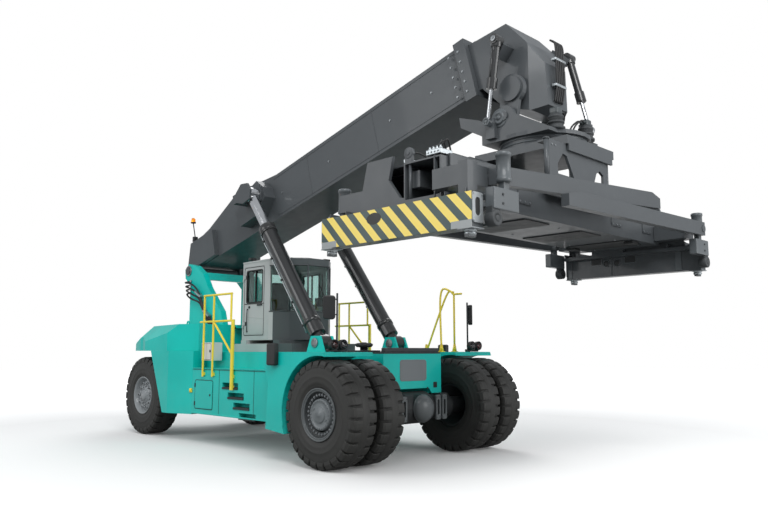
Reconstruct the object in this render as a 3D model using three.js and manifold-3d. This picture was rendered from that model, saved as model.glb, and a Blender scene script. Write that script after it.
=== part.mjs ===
// Reach stacker: a container handler with a telescopic boom, a slewing top spreader and folding
// bottom-lift legs. Millimetres, +Z up, the truck looks towards -Y and its left side is +X.
// Places are worked out on the ground under the middle of the front axle; the group at the end
// moves the model so that its own origin is the bottom centre of its box.
import * as THREE from "three";
import { mergeVertices } from "three/addons/utils/BufferGeometryUtils.js";
import Module from "manifold-3d";

const wasm = await Module();
wasm.setup();

// ---------------------------------------------------------------- driving dimensions
const GAP = 0.3;                    // between pieces that touch
const RUN = 6;                      // between pieces that move past each other
const ROUND = 28;                   // sides of an ordinary round
const WHEEL_SIDES = 32;

const WHEELBASE = 6500;
const TYRE_OD = 1660;
const TYRE_WIDTH = 500;
const RIM_BEAD = 780;               // outside of the rim flange
const DUAL_SPACE = 100;             // between the twin tyres
const FRONT_WIDTH = 4128;           // over the outer front tyres
const REAR_WIDTH = 3304;            // over the rear tyres
const KINGPIN_X = 1000;
const AXLE_Z = TYRE_OD / 2;

const BEAM_OUT = 700;               // outer face of a chassis beam
const BEAM_IN = 430;
const BEAM_LOW = 1060;
const BEAM_TOP = 1740;
const SPINE_OUT = 470;              // narrower chassis between the steered wheels
const SPINE_LOW = 1150;
const PLATE_T = 60;                 // front plate
const DECK_T = 30;
const DECK_TOP = BEAM_TOP + GAP + DECK_T;
const DECK_REAR = 4300;

const FENDER_OUT = 2070;
const FENDER_IN = 960;
const ARCH_CLEAR = 60;              // from tyre to fender
const TANK_OUT = 1700;
const TANK_FRONT = 1460;
const TANK_REAR = 4300;
const TANK_LOW = 600;
const TANK_TOP = 1450;
const SIDE_OUT = 1400;              // recessed upper side above the tank
const HAUNCH_OUT = 1900;            // widest place of the rear body
const HOOD_LOW = 1790;
const HOOD_TOP = 2330;
const REAR_END = 8060;

const PIVOT_Y = 6250;               // boom foot pin
const PIVOT_Z = 3600;
const BOOM_ANGLE = 14.45;           // degrees above level
const TOWER_IN = 620;
const TOWER_OUT = 750;
const FOOT_PIN_R = 90;
const BOOM_W = 1000;
const BOOM_LOW = 70;                // boom section, above the line through the foot pin
const BOOM_TOP = 1000;
const BOOM_WALL = 40;
const BOOM_FRONT = 8420;            // along the boom from the foot pin
const SLIDE_PLAY = 12;              // between the two boom sections
const STROKE = 6000;
const INNER_REAR = 1500;

const LIFT_X = 920;
const LIFT_BASE = [1280, 1930];     // y, z of the lower pin
const LIFT_EYE = [3580, 4940];      // y, z of the upper pin
const LIFT_BARREL_R = 150;
const LIFT_ROD_R = 100;
const LIFT_BARREL_LEN = 2850;
const LIFT_ROD_LEN = 2770;          // eye pin to piston
const LIFT_EYE_R = 150;
const LIFT_EYE_W = 210;

const TILT_PIN = [-2550, 5220];     // y, z of the pin that carries the rotator
const TILT_PIN_R = 70;
const EAR_OUT = 590;
const EAR_T = 70;
const YOKE_T = 80;
const TILT_X = 790;                 // tilt cylinders: the right one behind the pin, the left ahead
const TILT_TOP = { right: [-2530, 6370], left: [-2790, 6460] };
const TILT_FOOT = { right: [-2340, 5150], left: [-3110, 5200] };
const TILT_BARREL_LEN = { right: 740, left: 800 };
const TILT_ROD_LEN = { right: 760, left: 900 };
const TILT_EYE_W = 170;
const TILT_FOOT_W = 90;
const TILT_ROD_R = 30;
const BORE_PLAY = 0.6;              // rod in its gland

const SLEW_Y = -2770;
const YOKE_PLATE_LOW = 4860;
const YOKE_PLATE_T = 60;
const RING_R = 640;
const RING_H = 130;

const SHIFT = -270;                 // side shift of the spreader
const LOCK_X = 5853 / 2;            // half the distance between twistlocks, along the container
const LOCK_Y = 2259 / 2;
const LOCK_TIP = 2990;
const END_LOW = 3085;
const END_TOP = 3470;
const END_T = 190;
const FRAME_LOW = 3520;
const FRAME_TOP = 4060;
const FRAME_HALF_Y = 640;
const FRAME_HALF_X = 2660;
const FRAME_WALL = 25;
const ARM_PLAY = 8;
const EXTEND = 3045;
const LEG_LEN = 3950;
const LEG_DEPTH = 210;
const LEG_T = 110;
const LEG_HINGE_X = LOCK_X - 350;

const CAB_HALF = 740;
const CAB_REAR = 4060;
const CAB_POST = 3150;              // where the side walls end and the front begins
const CAB_NOSE = 2450;
const CAB_FLOOR = 2000;
const CAB_ROOF = 3590;
const CAB_WALL = 50;
const DOOR_REAR = 4010;
const DOOR_FRONT = 3300;
const DOOR_LOW = 2090;
const DOOR_TOP = 3490;
const DOOR_T = 40;
const DOOR_GAP = 6;
const HINGE_R = 16;
const HINGE_Z = [2300, 3250];
const HINGE_H = 70;

// ---------------------------------------------------------------- colours
const TEAL = 0x12b9ab;
const GREY = 0x5b6064;
const PALE = 0x8f9598;
const DARK = 0x2c2e2f;
const RUBBER = 0x2b2a2a;
const SILVER = 0xb8bcbf;
const CABIN = 0xb3b6b5;
const YELLOW = 0xf0dd4e;
const GLASS = 0x9fc4be;
const CHROME = 0xd8dadc;

// ---------------------------------------------------------------- solids
function solid(geometry) {
  const bare = geometry.index ? geometry.toNonIndexed() : geometry.clone();
  bare.deleteAttribute("normal");
  bare.deleteAttribute("uv");
  const merged = mergeVertices(bare, 1e-3);
  const positions = merged.attributes.position.array;
  const mesh = new wasm.Mesh({
    numProp: 3,
    vertProperties: Float32Array.from(positions),
    triVerts: Uint32Array.from(merged.index.array),
  });
  return new wasm.Manifold(mesh);
}

function toGeometry(body) {
  const mesh = body.getMesh();
  const geometry = new THREE.BufferGeometry();
  geometry.setAttribute("position", new THREE.BufferAttribute(mesh.vertProperties, 3));
  geometry.setIndex(new THREE.BufferAttribute(mesh.triVerts, 1));
  return geometry;
}

function join(...bodies) {
  return bodies.flat().reduce((whole, body) => whole.add(body));
}

function cut(body, ...tools) {
  return tools.flat().reduce((left, tool) => left.subtract(tool), body);
}

function box(x, y, z) {
  const geometry = new THREE.BoxGeometry(x[1] - x[0], y[1] - y[0], z[1] - z[0]);
  geometry.translate((x[0] + x[1]) / 2, (y[0] + y[1]) / 2, (z[0] + z[1]) / 2);
  return solid(geometry);
}

// A hole that a pin of the same number of sides turns in freely.
const turnFit = (radius, sides = ROUND) => radius / Math.cos(Math.PI / sides) + GAP;

// An outline of (y, z) points, carried along X.
function prismX(outline, x) {
  const shape = outline instanceof THREE.Shape ? outline : shapeOf(outline);
  const geometry = new THREE.ExtrudeGeometry(shape, { depth: x[1] - x[0], bevelEnabled: false });
  const place = new THREE.Matrix4().makeBasis(
    new THREE.Vector3(0, 1, 0), new THREE.Vector3(0, 0, 1), new THREE.Vector3(1, 0, 0));
  geometry.applyMatrix4(place);
  geometry.translate(x[0], 0, 0);
  return solid(geometry);
}

// An outline of (x, y) points, carried along Z.
function prismZ(outline, z) {
  const shape = outline instanceof THREE.Shape ? outline : shapeOf(outline);
  const geometry = new THREE.ExtrudeGeometry(shape, { depth: z[1] - z[0], bevelEnabled: false });
  geometry.translate(0, 0, z[0]);
  return solid(geometry);
}

// An outline of (x, z) points, carried along Y.
function prismY(outline, y) {
  const shape = outline instanceof THREE.Shape ? outline : shapeOf(outline);
  const geometry = new THREE.ExtrudeGeometry(shape, { depth: y[1] - y[0], bevelEnabled: false });
  const place = new THREE.Matrix4().makeBasis(
    new THREE.Vector3(1, 0, 0), new THREE.Vector3(0, 0, 1), new THREE.Vector3(0, -1, 0));
  geometry.applyMatrix4(place);
  geometry.translate(0, y[1], 0);
  return solid(geometry);
}

function shapeOf(points) {
  const shape = new THREE.Shape();
  const area = THREE.ShapeUtils.area(points.map(([a, b]) => new THREE.Vector2(a, b)));
  const ordered = area < 0 ? [...points].reverse() : points;
  shape.moveTo(...ordered[0]);
  ordered.slice(1).forEach(([a, b]) => shape.lineTo(a, b));
  shape.closePath();
  return shape;
}

function rod(from, to, radius, sides = ROUND) {
  const start = new THREE.Vector3(...from);
  const end = new THREE.Vector3(...to);
  const span = end.clone().sub(start);
  const geometry = new THREE.CylinderGeometry(radius, radius, span.length(), sides);
  const turn = new THREE.Quaternion().setFromUnitVectors(
    new THREE.Vector3(0, 1, 0), span.clone().normalize());
  geometry.applyQuaternion(turn);
  geometry.translate(...start.add(end).multiplyScalar(0.5).toArray());
  return solid(geometry);
}

// A straight bar of rectangular section from one point to another in a YZ plane.
function bar(from, to, depth, x) {
  const [dy, dz] = [to[0] - from[0], to[1] - from[1]];
  const length = Math.hypot(dy, dz);
  const [ny, nz] = [(-dz / length) * depth / 2, (dy / length) * depth / 2];
  return prismX([
    [from[0] + ny, from[1] + nz], [to[0] + ny, to[1] + nz],
    [to[0] - ny, to[1] - nz], [from[0] - ny, from[1] - nz],
  ], x);
}

// A body of revolution about X: the profile holds (distance along X, radius) points.
function turned(profile, sides = ROUND) {
  const points = profile.map(([along, radius]) => new THREE.Vector2(radius, along));
  points.push(points[0].clone());
  const geometry = new THREE.LatheGeometry(points, sides);
  geometry.rotateZ(-Math.PI / 2);
  let body = solid(geometry);
  if (body.volume() < 0) {
    const flipped = geometry.index ? geometry.toNonIndexed() : geometry;
    const array = flipped.attributes.position.array;
    for (let i = 0; i < array.length; i += 9) {
      for (let k = 0; k < 3; k += 1) {
        [array[i + 3 + k], array[i + 6 + k]] = [array[i + 6 + k], array[i + 3 + k]];
      }
    }
    body = solid(flipped);
  }
  return body;
}

function moved(body, x, y, z) {
  return body.translate([x, y, z]);
}

function mirrored(body) {
  return body.mirror([1, 0, 0]);
}

const span = (side, inner, outer) => (side < 0 ? [-outer, -inner] : [inner, outer]);

// ---------------------------------------------------------------- assembly
const truck = new THREE.Group();

function piece(name, body, color, roughness = 0.5, metalness = 0.0) {
  const material = new THREE.MeshStandardMaterial({ color, roughness, metalness });
  const mesh = new THREE.Mesh(toGeometry(body), material);
  mesh.name = name;
  truck.add(mesh);
  return body;
}

const SIDES = [["right", -1], ["left", 1]];

// ---------------------------------------------------------------- wheels
const BEAD_R = RIM_BEAD / 2;
const TYRE_R = TYRE_OD / 2;

// Tyre between x = 0 (inner face) and x = TYRE_WIDTH.
function tyre() {
  const wall = 34;
  return turned([
    [wall, BEAD_R + GAP], [TYRE_WIDTH - wall, BEAD_R + GAP], [TYRE_WIDTH - wall, BEAD_R + 60],
    [TYRE_WIDTH, BEAD_R + 190], [TYRE_WIDTH - 10, TYRE_R - 130], [TYRE_WIDTH - 45, TYRE_R - 20],
    [TYRE_WIDTH - 120, TYRE_R], [120, TYRE_R], [45, TYRE_R - 20], [10, TYRE_R - 130],
    [0, BEAD_R + 190], [wall, BEAD_R + 60],
  ], WHEEL_SIDES);
}

// Rim, disc and hub for tyres that reach from x = 0 to x = width, outer face at x = width.
function rim(width, hubOut, bore) {
  const drumIn = BEAD_R - 42;
  const disc = width - 190;
  return turned([
    [20, drumIn], [disc - 30, drumIn], [disc - 30, bore], [disc + 10, bore],
    [disc + 10, 0], [width + hubOut - 30, 0], [width + hubOut, 0], [width + hubOut, 170],
    [width + hubOut - 40, 245], [disc + 20, 270], [disc + 20, drumIn],
    [width - 20, drumIn], [width - 20, BEAD_R], [20, BEAD_R],
  ], WHEEL_SIDES);
}

const TWIN_WIDTH = 2 * TYRE_WIDTH + DUAL_SPACE;
const FRONT_INNER = FRONT_WIDTH / 2 - TWIN_WIDTH;
const REAR_INNER = REAR_WIDTH / 2 - TYRE_WIDTH;
const FRONT_STUB_R = 150;
const REAR_STUB_R = 110;

for (const [name, side] of SIDES) {
  const place = (body, x, y) => {
    const out = moved(body, x, y, AXLE_Z);
    return side < 0 ? mirrored(out) : out;
  };
  piece(`tyre_front_${name}_outer`, place(tyre(), FRONT_WIDTH / 2 - TYRE_WIDTH, 0), RUBBER, 0.9);
  piece(`tyre_front_${name}_inner`, place(tyre(), FRONT_INNER, 0), RUBBER, 0.9);
  piece(`rim_front_${name}`, place(rim(TWIN_WIDTH, -20, FRONT_STUB_R), FRONT_INNER, 0), PALE, 0.5, 0.4);
  piece(`tyre_rear_${name}`, place(tyre(), REAR_INNER, WHEELBASE), RUBBER, 0.9);
  piece(`rim_rear_${name}`, place(rim(TYRE_WIDTH, -60, REAR_STUB_R), REAR_INNER, WHEELBASE), SILVER, 0.4, 0.6);
}

// ---------------------------------------------------------------- axles
const FRONT_DISC = FRONT_INNER + TWIN_WIDTH - 190 + 10;
const frontAxle = turned([
  [-FRONT_DISC + GAP, 0], [FRONT_DISC - GAP, 0], [FRONT_DISC - GAP, FRONT_STUB_R - RUN],
  [880, FRONT_STUB_R - RUN], [860, 215], [420, 215], [300, 270], [-300, 270], [-420, 215],
  [-860, 215], [-880, FRONT_STUB_R - RUN], [-FRONT_DISC + GAP, FRONT_STUB_R - RUN],
]);
piece("front_axle", join(
  moved(frontAxle, 0, 0, AXLE_Z),
  [-1, 1].map((side) => box(span(side, 500, 690), [-230, 230], [AXLE_Z - 60, BEAM_LOW - GAP])),
  moved(solid(new THREE.SphereGeometry(240, 20, 12)), 0, -180, AXLE_Z),
), DARK, 0.7);

const FORK_HALF = 120;
const KNUCKLE_HALF = 170;
const LUG_TOP = 300;
const kingpin = (radius, z) => SIDES.map(([, side]) => rod(
  [side * KINGPIN_X, WHEELBASE, z[0]], [side * KINGPIN_X, WHEELBASE, z[1]], radius, 20));
piece("rear_axle", cut(join(
  box([-860, 860], [WHEELBASE - 150, WHEELBASE + 150], [AXLE_Z - 140, AXLE_Z + 140]),
  [-1, 1].map((side) => box(span(side, 760, KINGPIN_X + FORK_HALF),
    [WHEELBASE - FORK_HALF, WHEELBASE + FORK_HALF], [AXLE_Z - LUG_TOP, AXLE_Z + LUG_TOP])),
  box([-300, 300], [WHEELBASE - 190, WHEELBASE + 190], [AXLE_Z - 180, SPINE_LOW - GAP]),
),
[-1, 1].map((side) => box(span(side, 861, KINGPIN_X + FORK_HALF + 10),
  [WHEELBASE - FORK_HALF - 10, WHEELBASE + FORK_HALF + 10],
  [AXLE_Z - KNUCKLE_HALF - GAP, AXLE_Z + KNUCKLE_HALF + GAP])),
kingpin(66, [AXLE_Z - LUG_TOP - 5, AXLE_Z + LUG_TOP + 5])), DARK, 0.7);

const REAR_DISC = REAR_INNER + TYRE_WIDTH - 190 + 10;
for (const [name, side] of SIDES) {
  piece(`steering_knuckle_${name}`, join(
    rod([side * KINGPIN_X, WHEELBASE, AXLE_Z - KNUCKLE_HALF],
      [side * KINGPIN_X, WHEELBASE, AXLE_Z + KNUCKLE_HALF], 118, 24),
    rod([side * KINGPIN_X, WHEELBASE, AXLE_Z - LUG_TOP],
      [side * KINGPIN_X, WHEELBASE, AXLE_Z + LUG_TOP], 60, 20),
    rod([side * KINGPIN_X, WHEELBASE, AXLE_Z],
      [side * (REAR_DISC - GAP), WHEELBASE, AXLE_Z], REAR_STUB_R - RUN),
  ), DARK, 0.6);
}

// ---------------------------------------------------------------- chassis
const SPINE_FRONT = 4400;
const LOW_MID = 800;
const chassisBeam = (side) => prismX([
  [0, BEAM_LOW], [900, BEAM_LOW], [1500, LOW_MID], [SPINE_FRONT, LOW_MID],
  [SPINE_FRONT, BEAM_TOP], [0, BEAM_TOP],
], span(side, BEAM_IN, BEAM_OUT));
const spineBeam = (side) => box(span(side, 200, SPINE_OUT), [SPINE_FRONT - 300, REAR_END - 300],
  [SPINE_LOW, BEAM_TOP]);
const frontPlate = prismY([
  [-720, 1060], [-470, 1060], [-400, 1150], [400, 1150], [470, 1060], [720, 1060],
  [720, BEAM_TOP], [-720, BEAM_TOP],
], [-PLATE_T, 0]);
const crossMember = (y) => box([-BEAM_OUT, BEAM_OUT], [y - 60, y + 60], [BEAM_LOW + 60, BEAM_TOP - 60]);
const liftFoot = (side, x) => prismX([
  [LIFT_BASE[0] - 330, BEAM_TOP - 200], [LIFT_BASE[0] + 330, BEAM_TOP - 200],
  [LIFT_BASE[0] + 120, LIFT_BASE[1] + 120], [LIFT_BASE[0] - 120, LIFT_BASE[1] + 120],
], span(side, x[0], x[1]));
const FOOT_IN = LIFT_X - LIFT_EYE_W / 2 - RUN;
const FOOT_OUT = LIFT_X + LIFT_EYE_W / 2 + RUN;
const FOOT_T = 45;
piece("chassis_frame", join(
  [-1, 1].map(chassisBeam), [-1, 1].map(spineBeam), frontPlate,
  crossMember(1000), crossMember(2500), crossMember(SPINE_FRONT - 200),
  box([-SPINE_OUT, SPINE_OUT], [WHEELBASE - 300, WHEELBASE + 300], [SPINE_LOW, SPINE_LOW + 200]),
  box([-SPINE_OUT, SPINE_OUT], [REAR_END - 500, REAR_END - 300], [SPINE_LOW, BEAM_TOP]),
  [-1, 1].map((side) => liftFoot(side, [FOOT_IN - FOOT_T, FOOT_IN])),
  [-1, 1].map((side) => liftFoot(side, [FOOT_OUT, FOOT_OUT + FOOT_T])),
  [-1, 1].map((side) => box(span(side, BEAM_OUT - 10, FOOT_OUT + FOOT_T),
    [LIFT_BASE[0] - 330, LIFT_BASE[0] + 330], [BEAM_TOP - 420, BEAM_TOP - 170])),
), TEAL, 0.45);

// ---------------------------------------------------------------- fenders, deck and side bodies
const ARCH_R = TYRE_R + ARCH_CLEAR;
function fenderOutline() {
  const shape = new THREE.Shape();
  const skirtLow = 480;
  const start = Math.asin((skirtLow - AXLE_Z) / ARCH_R);
  const topZ = DECK_TOP;
  shape.moveTo(ARCH_R * Math.cos(start), skirtLow);
  shape.lineTo(ARCH_R * Math.cos(start) + 500, skirtLow + 50);
  shape.lineTo(1270, 1240);
  shape.lineTo(TANK_FRONT - 20, topZ - 60);
  shape.lineTo(TANK_FRONT - 20, topZ);
  shape.lineTo(-130, topZ);
  shape.lineTo(-150, topZ - 70);
  const steps = 14;
  const last = Math.PI / 2 + 0.12;
  for (let i = 0; i <= steps; i += 1) {
    const angle = last + (start - last) * (i / steps);
    shape.lineTo(ARCH_R * Math.cos(angle), AXLE_Z + ARCH_R * Math.sin(angle));
  }
  return shape;
}
// Hollow above the tyres: only the outer skirt and a band over the wheel are solid.
for (const [name, side] of SIDES) {
  const footRoom = box(span(side, FENDER_IN - 10, FOOT_OUT + FOOT_T + GAP),
    [LIFT_BASE[0] - 340, LIFT_BASE[0] + 340], [BEAM_TOP - 430, DECK_TOP + 10]);
  piece(`fender_front_${name}`, cut(
    prismX(fenderOutline(), span(side, FOOT_OUT + FOOT_T + GAP, FENDER_OUT)), footRoom), TEAL, 0.4);
}

piece("front_deck", cut(
  box([-BEAM_OUT, BEAM_OUT], [-PLATE_T, DECK_REAR], [BEAM_TOP + GAP, DECK_TOP]),
  [-1, 1].map((side) => liftFoot(side, [FOOT_IN - FOOT_T - 2, FOOT_OUT + FOOT_T + 2]))), DARK, 0.8);

const STEP_WIDE = 520;
const STEP_HIGH = 120;
for (const [name, side] of SIDES) {
  const steps = [0, 1, 2, 3, 4].map((i) => {
    const y = 3150 - i * 190;
    const z = TANK_TOP - 70 - i * 175;
    return box(span(side, TANK_OUT - 160, TANK_OUT + 10), [y - STEP_WIDE / 2, y + STEP_WIDE / 2],
      [z - STEP_HIGH, z]);
  }).slice(1);
  piece(`side_tank_${name}`, cut(join(
    box(span(side, BEAM_OUT + GAP, TANK_OUT), [TANK_FRONT, TANK_REAR - GAP], [TANK_LOW, TANK_TOP]),
    box(span(side, BEAM_OUT + GAP, SIDE_OUT), [TANK_FRONT, TANK_REAR - GAP],
      [TANK_TOP - 10, DECK_TOP]),
  ), steps, box(span(side, BEAM_OUT - 10, FOOT_OUT + FOOT_T + 2),
    [LIFT_BASE[0] - 340, LIFT_BASE[0] + 340], [BEAM_TOP - 430, DECK_TOP + 10])), TEAL, 0.4);
}

// Rear haunch: fills from the tank to the rear wheel and flares out over it.
for (const [name, side] of SIDES) {
  const arch = prismX([
    [4000, 500], [5090, 500], [5680, HOOD_LOW - GAP], [4000, HOOD_LOW - GAP],
  ], span(side, TOWER_OUT + GAP, HAUNCH_OUT));
  const plan = side < 0 ? -1 : 1;
  const flare = prismZ([
    [plan * (SPINE_OUT + GAP), TANK_REAR], [plan * TANK_OUT, TANK_REAR],
    [plan * HAUNCH_OUT, TANK_REAR + 620], [plan * HAUNCH_OUT, 5700], [plan * (SPINE_OUT + GAP), 5700],
  ], [560, HOOD_LOW - GAP]);
  const beamRoom = box(span(side, BEAM_IN - 10, BEAM_OUT + GAP), [4000, SPINE_FRONT + GAP],
    [LOW_MID - 10, BEAM_TOP + GAP]);
  piece(`rear_fender_${name}`, cut(arch.intersect(flare), beamRoom), TEAL, 0.4);
}

// ---------------------------------------------------------------- boom tower, hood, counterweight
const tower = (x) => prismX([
  [4560, BEAM_TOP + GAP], [4870, 2630], [5400, 3160], [5640, 3500], [5960, 3700],
  [PIVOT_Y, 3760], [6420, 3640], [6400, 3440], [6170, 3250], [6170, BEAM_TOP + GAP],
], x);
const towerBase = (side) => box(span(side, BEAM_IN - 10 - 200, TOWER_OUT), [4560, 6170],
  [BEAM_TOP + GAP, BEAM_TOP + 45]);
piece("boom_tower", cut(join(
  [-1, 1].map((side) => tower(span(side, TOWER_IN, TOWER_OUT))),
  [-1, 1].map(towerBase),
  box([-TOWER_OUT, TOWER_OUT], [5660, 5800], [3370, 3530]),
  box([-TOWER_OUT, TOWER_OUT], [4640, 4700], [BEAM_TOP + GAP, 2250]),
), rod([-TOWER_OUT - 10, PIVOT_Y, PIVOT_Z], [TOWER_OUT + 10, PIVOT_Y, PIVOT_Z],
  turnFit(FOOT_PIN_R))), TEAL, 0.4);

const HOOD_WALL = 30;
const hoodPlan = (inset) => [
  [-1500 + inset, 4450 + inset], [-HAUNCH_OUT + inset, 5000 + inset / 2],
  [-HAUNCH_OUT + inset, 5950], [-1700 + inset, 6450], [-1700 + inset, 6560 - inset],
  [1700 - inset, 6560 - inset], [1700 - inset, 6450], [HAUNCH_OUT - inset, 5950],
  [HAUNCH_OUT - inset, 5000 + inset / 2], [1500 - inset, 4450 + inset],
];
const WEDGE_PAST = 600;
const WEDGE_RUN = 2500;
// Wedges that slope the sides of the hood: along a line in plan, from start to end.
function topWedge(start, end, drop, inset) {
  const run = Math.hypot(end[0] - start[0], end[1] - start[1]);
  const wedge = prismY([
    [-WEDGE_PAST, HOOD_TOP - drop - WEDGE_PAST * (drop / inset)], [-WEDGE_PAST, HOOD_TOP + 200],
    [inset, HOOD_TOP + 200], [inset, HOOD_TOP],
  ], [-WEDGE_RUN, run + WEDGE_RUN]);
  const heading = THREE.MathUtils.radToDeg(Math.atan2(end[1] - start[1], end[0] - start[0])) - 90;
  const placed = wedge.rotate([0, 0, heading]).translate([start[0], start[1], 0]);
  return [placed, mirrored(placed)];
}
const rearWedges = [
  topWedge([-HAUNCH_OUT, 5420], [-1690, 6560], 250, 260),
  topWedge([-1700, 6540], [-850, 8050], 250, 260),
].flat();
const towerRoom = (side) => box(span(side, TOWER_IN - 8, TOWER_OUT + 8), [4400, 6180],
  [HOOD_LOW - 60, HOOD_TOP + 10]);
piece("engine_hood", cut(
  prismZ(hoodPlan(0), [HOOD_LOW, HOOD_TOP]),
  rearWedges,
  cut(prismZ(hoodPlan(HOOD_WALL), [HOOD_LOW - 1, HOOD_TOP - HOOD_WALL]),
    rearWedges.map((wedge) => moved(wedge, 0, 0, -HOOD_WALL * 1.6))),
  [-1, 1].map(towerRoom),
  box([-TOWER_OUT, TOWER_OUT], [4400, 4710], [HOOD_LOW - 60, 2260]),
), TEAL, 0.4);

piece("engine_block", box([-SPINE_OUT + 60, SPINE_OUT - 60], [4850, 6050], [BEAM_TOP + 45 + GAP, 2280]), DARK, 0.7);

const tailPlan = new THREE.Shape();
tailPlan.moveTo(-1700, 6560 + GAP);
tailPlan.quadraticCurveTo(-1500, 7500, -900, 7960);
tailPlan.quadraticCurveTo(-450, REAR_END, 0, REAR_END);
tailPlan.quadraticCurveTo(450, REAR_END, 900, 7960);
tailPlan.quadraticCurveTo(1500, 7500, 1700, 6560 + GAP);
const tailSide = new THREE.Shape();
tailSide.moveTo(6560 + GAP, 1000);
tailSide.lineTo(REAR_END, 1000);
tailSide.lineTo(REAR_END, 1900);
tailSide.quadraticCurveTo(REAR_END - 40, HOOD_TOP - 60, 7100, HOOD_TOP);
tailSide.lineTo(6560 + GAP, HOOD_TOP);
piece("counterweight", join(
  cut(prismZ(tailPlan, [HOOD_LOW, HOOD_TOP + 100]).intersect(prismX(tailSide, [-2000, 2000])),
    rearWedges),
  box([-SPINE_OUT, SPINE_OUT], [REAR_END - 300 + GAP, REAR_END - 20], [1000, HOOD_LOW + 10]),
  box([-SPINE_OUT, SPINE_OUT], [6600, REAR_END - 300 + 10], [BEAM_TOP + GAP, HOOD_LOW + 10]),
), TEAL, 0.4);

// ---------------------------------------------------------------- cab
function cabPlan(inset) {
  const half = CAB_HALF - inset;
  return [
    [-half, CAB_REAR - inset], [-half, CAB_POST], [-520 + inset * 0.6, 2760 + inset * 0.7],
    [-260, CAB_NOSE + 60 + inset], [260, CAB_NOSE + 60 + inset],
    [520 - inset * 0.6, 2760 + inset * 0.7], [half, CAB_POST], [half, CAB_REAR - inset],
  ];
}
const doorHole = (side) => box(span(side, CAB_HALF - CAB_WALL - 30, CAB_HALF + 20),
  [DOOR_FRONT, DOOR_REAR], [DOOR_LOW, DOOR_TOP]);
const frontHole = prismZ([
  [-CAB_HALF - 10, 3130], [-CAB_HALF - 10, 2300], [CAB_HALF + 10, 2300], [CAB_HALF + 10, 3130],
], [2560, 3470]);
const rearWindow = box([-520, 520], [CAB_REAR - CAB_WALL - 20, CAB_REAR + 20], [2700, 3430]);
const shellHinge = (side) => HINGE_Z.map((z) => join(
  rod([side * (CAB_HALF + HINGE_R + GAP), DOOR_REAR, z - 50], [side * (CAB_HALF + HINGE_R + GAP), DOOR_REAR, z - GAP],
    HINGE_R, 12),
  box(span(side, CAB_HALF - 5, CAB_HALF + HINGE_R), [DOOR_REAR + 2, DOOR_REAR + 40], [z - 50, z - GAP])));
piece("cab_shell", join(cut(join(
  cut(
    prismZ(cabPlan(0), [CAB_FLOOR, CAB_ROOF]),
    prismZ(cabPlan(CAB_WALL), [CAB_FLOOR + 60, CAB_ROOF - 60]),
    frontHole,
  ),
), doorHole(-1), doorHole(1), rearWindow), shellHinge(-1), shellHinge(1)), CABIN, 0.45);

const GLASS_T = 8;
piece("cab_windscreen", cut(
  prismZ(cabPlan(15), [2560 + GAP, 3470 - GAP]),
  prismZ(cabPlan(15 + GLASS_T), [2500, 3500]),
  box([-1000, 1000], [3130 - GAP, 4200], [2500, 3500])), GLASS, 0.1);

for (const [name, side] of SIDES) {
  const leaf = box(span(side, CAB_HALF - DOOR_T, CAB_HALF),
    [DOOR_FRONT + DOOR_GAP, DOOR_REAR - DOOR_GAP], [DOOR_LOW + DOOR_GAP, DOOR_TOP - DOOR_GAP]);
  const pane = box(span(side, CAB_HALF - DOOR_T - 10, CAB_HALF + 10),
    [DOOR_FRONT + 70, DOOR_REAR - 90], [2760, DOOR_TOP - 80]);
  const hinges = HINGE_Z.map((z) => join(
    rod([side * (CAB_HALF + HINGE_R + GAP), DOOR_REAR, z],
      [side * (CAB_HALF + HINGE_R + GAP), DOOR_REAR, z + HINGE_H], HINGE_R, 12),
    box(span(side, CAB_HALF - 5, CAB_HALF + HINGE_R), [DOOR_REAR - 60, DOOR_REAR - DOOR_GAP],
      [z, z + HINGE_H])));
  piece(`cab_door_${name}`, join(cut(leaf, pane), hinges), CABIN, 0.45);
}

piece("cab_base", join(
  box([-CAB_HALF - 60, -CAB_HALF + 160], [2300, 4250], [DECK_TOP + GAP, 1930]),
  box([CAB_HALF - 160, CAB_HALF + 60], [2300, 4250], [DECK_TOP + GAP, 1930]),
  box([-CAB_HALF - 60, CAB_HALF + 60], [2700, 2900], [DECK_TOP + GAP, CAB_FLOOR - GAP]),
  box([-CAB_HALF - 60, CAB_HALF + 60], [3800, 4000], [DECK_TOP + GAP, CAB_FLOOR - GAP]),
), PALE, 0.5);

const SEAT_FLOOR = CAB_FLOOR + 60 + GAP;
piece("operator_seat", join(
  box([-150, 150], [3350, 3650], [SEAT_FLOOR, SEAT_FLOOR + 300]),
  box([-260, 260], [3230, 3760], [SEAT_FLOOR + 290, SEAT_FLOOR + 430]),
  prismX([[3640, SEAT_FLOOR + 420], [3780, SEAT_FLOOR + 420], [3930, SEAT_FLOOR + 1150],
    [3820, SEAT_FLOOR + 1150]], [-240, 240]),
), DARK, 0.9);
piece("steering_column", join(
  prismX([[2720, SEAT_FLOOR], [2860, SEAT_FLOOR], [3010, SEAT_FLOOR + 620], [2930, SEAT_FLOOR + 650]],
    [-60, 60]),
  rod([0, 2968, SEAT_FLOOR + 632], [0, 2995, SEAT_FLOOR + 690], 25, 20),
  (() => {
    const ring = new THREE.TorusGeometry(190, 16, 8, 20);
    ring.rotateX(THREE.MathUtils.degToRad(-25));
    ring.translate(0, 2998, SEAT_FLOOR + 696);
    return solid(ring);
  })(),
  box([-190, 190], [2985, 3011], [SEAT_FLOOR + 684, SEAT_FLOOR + 708]),
), DARK, 0.6);

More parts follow.
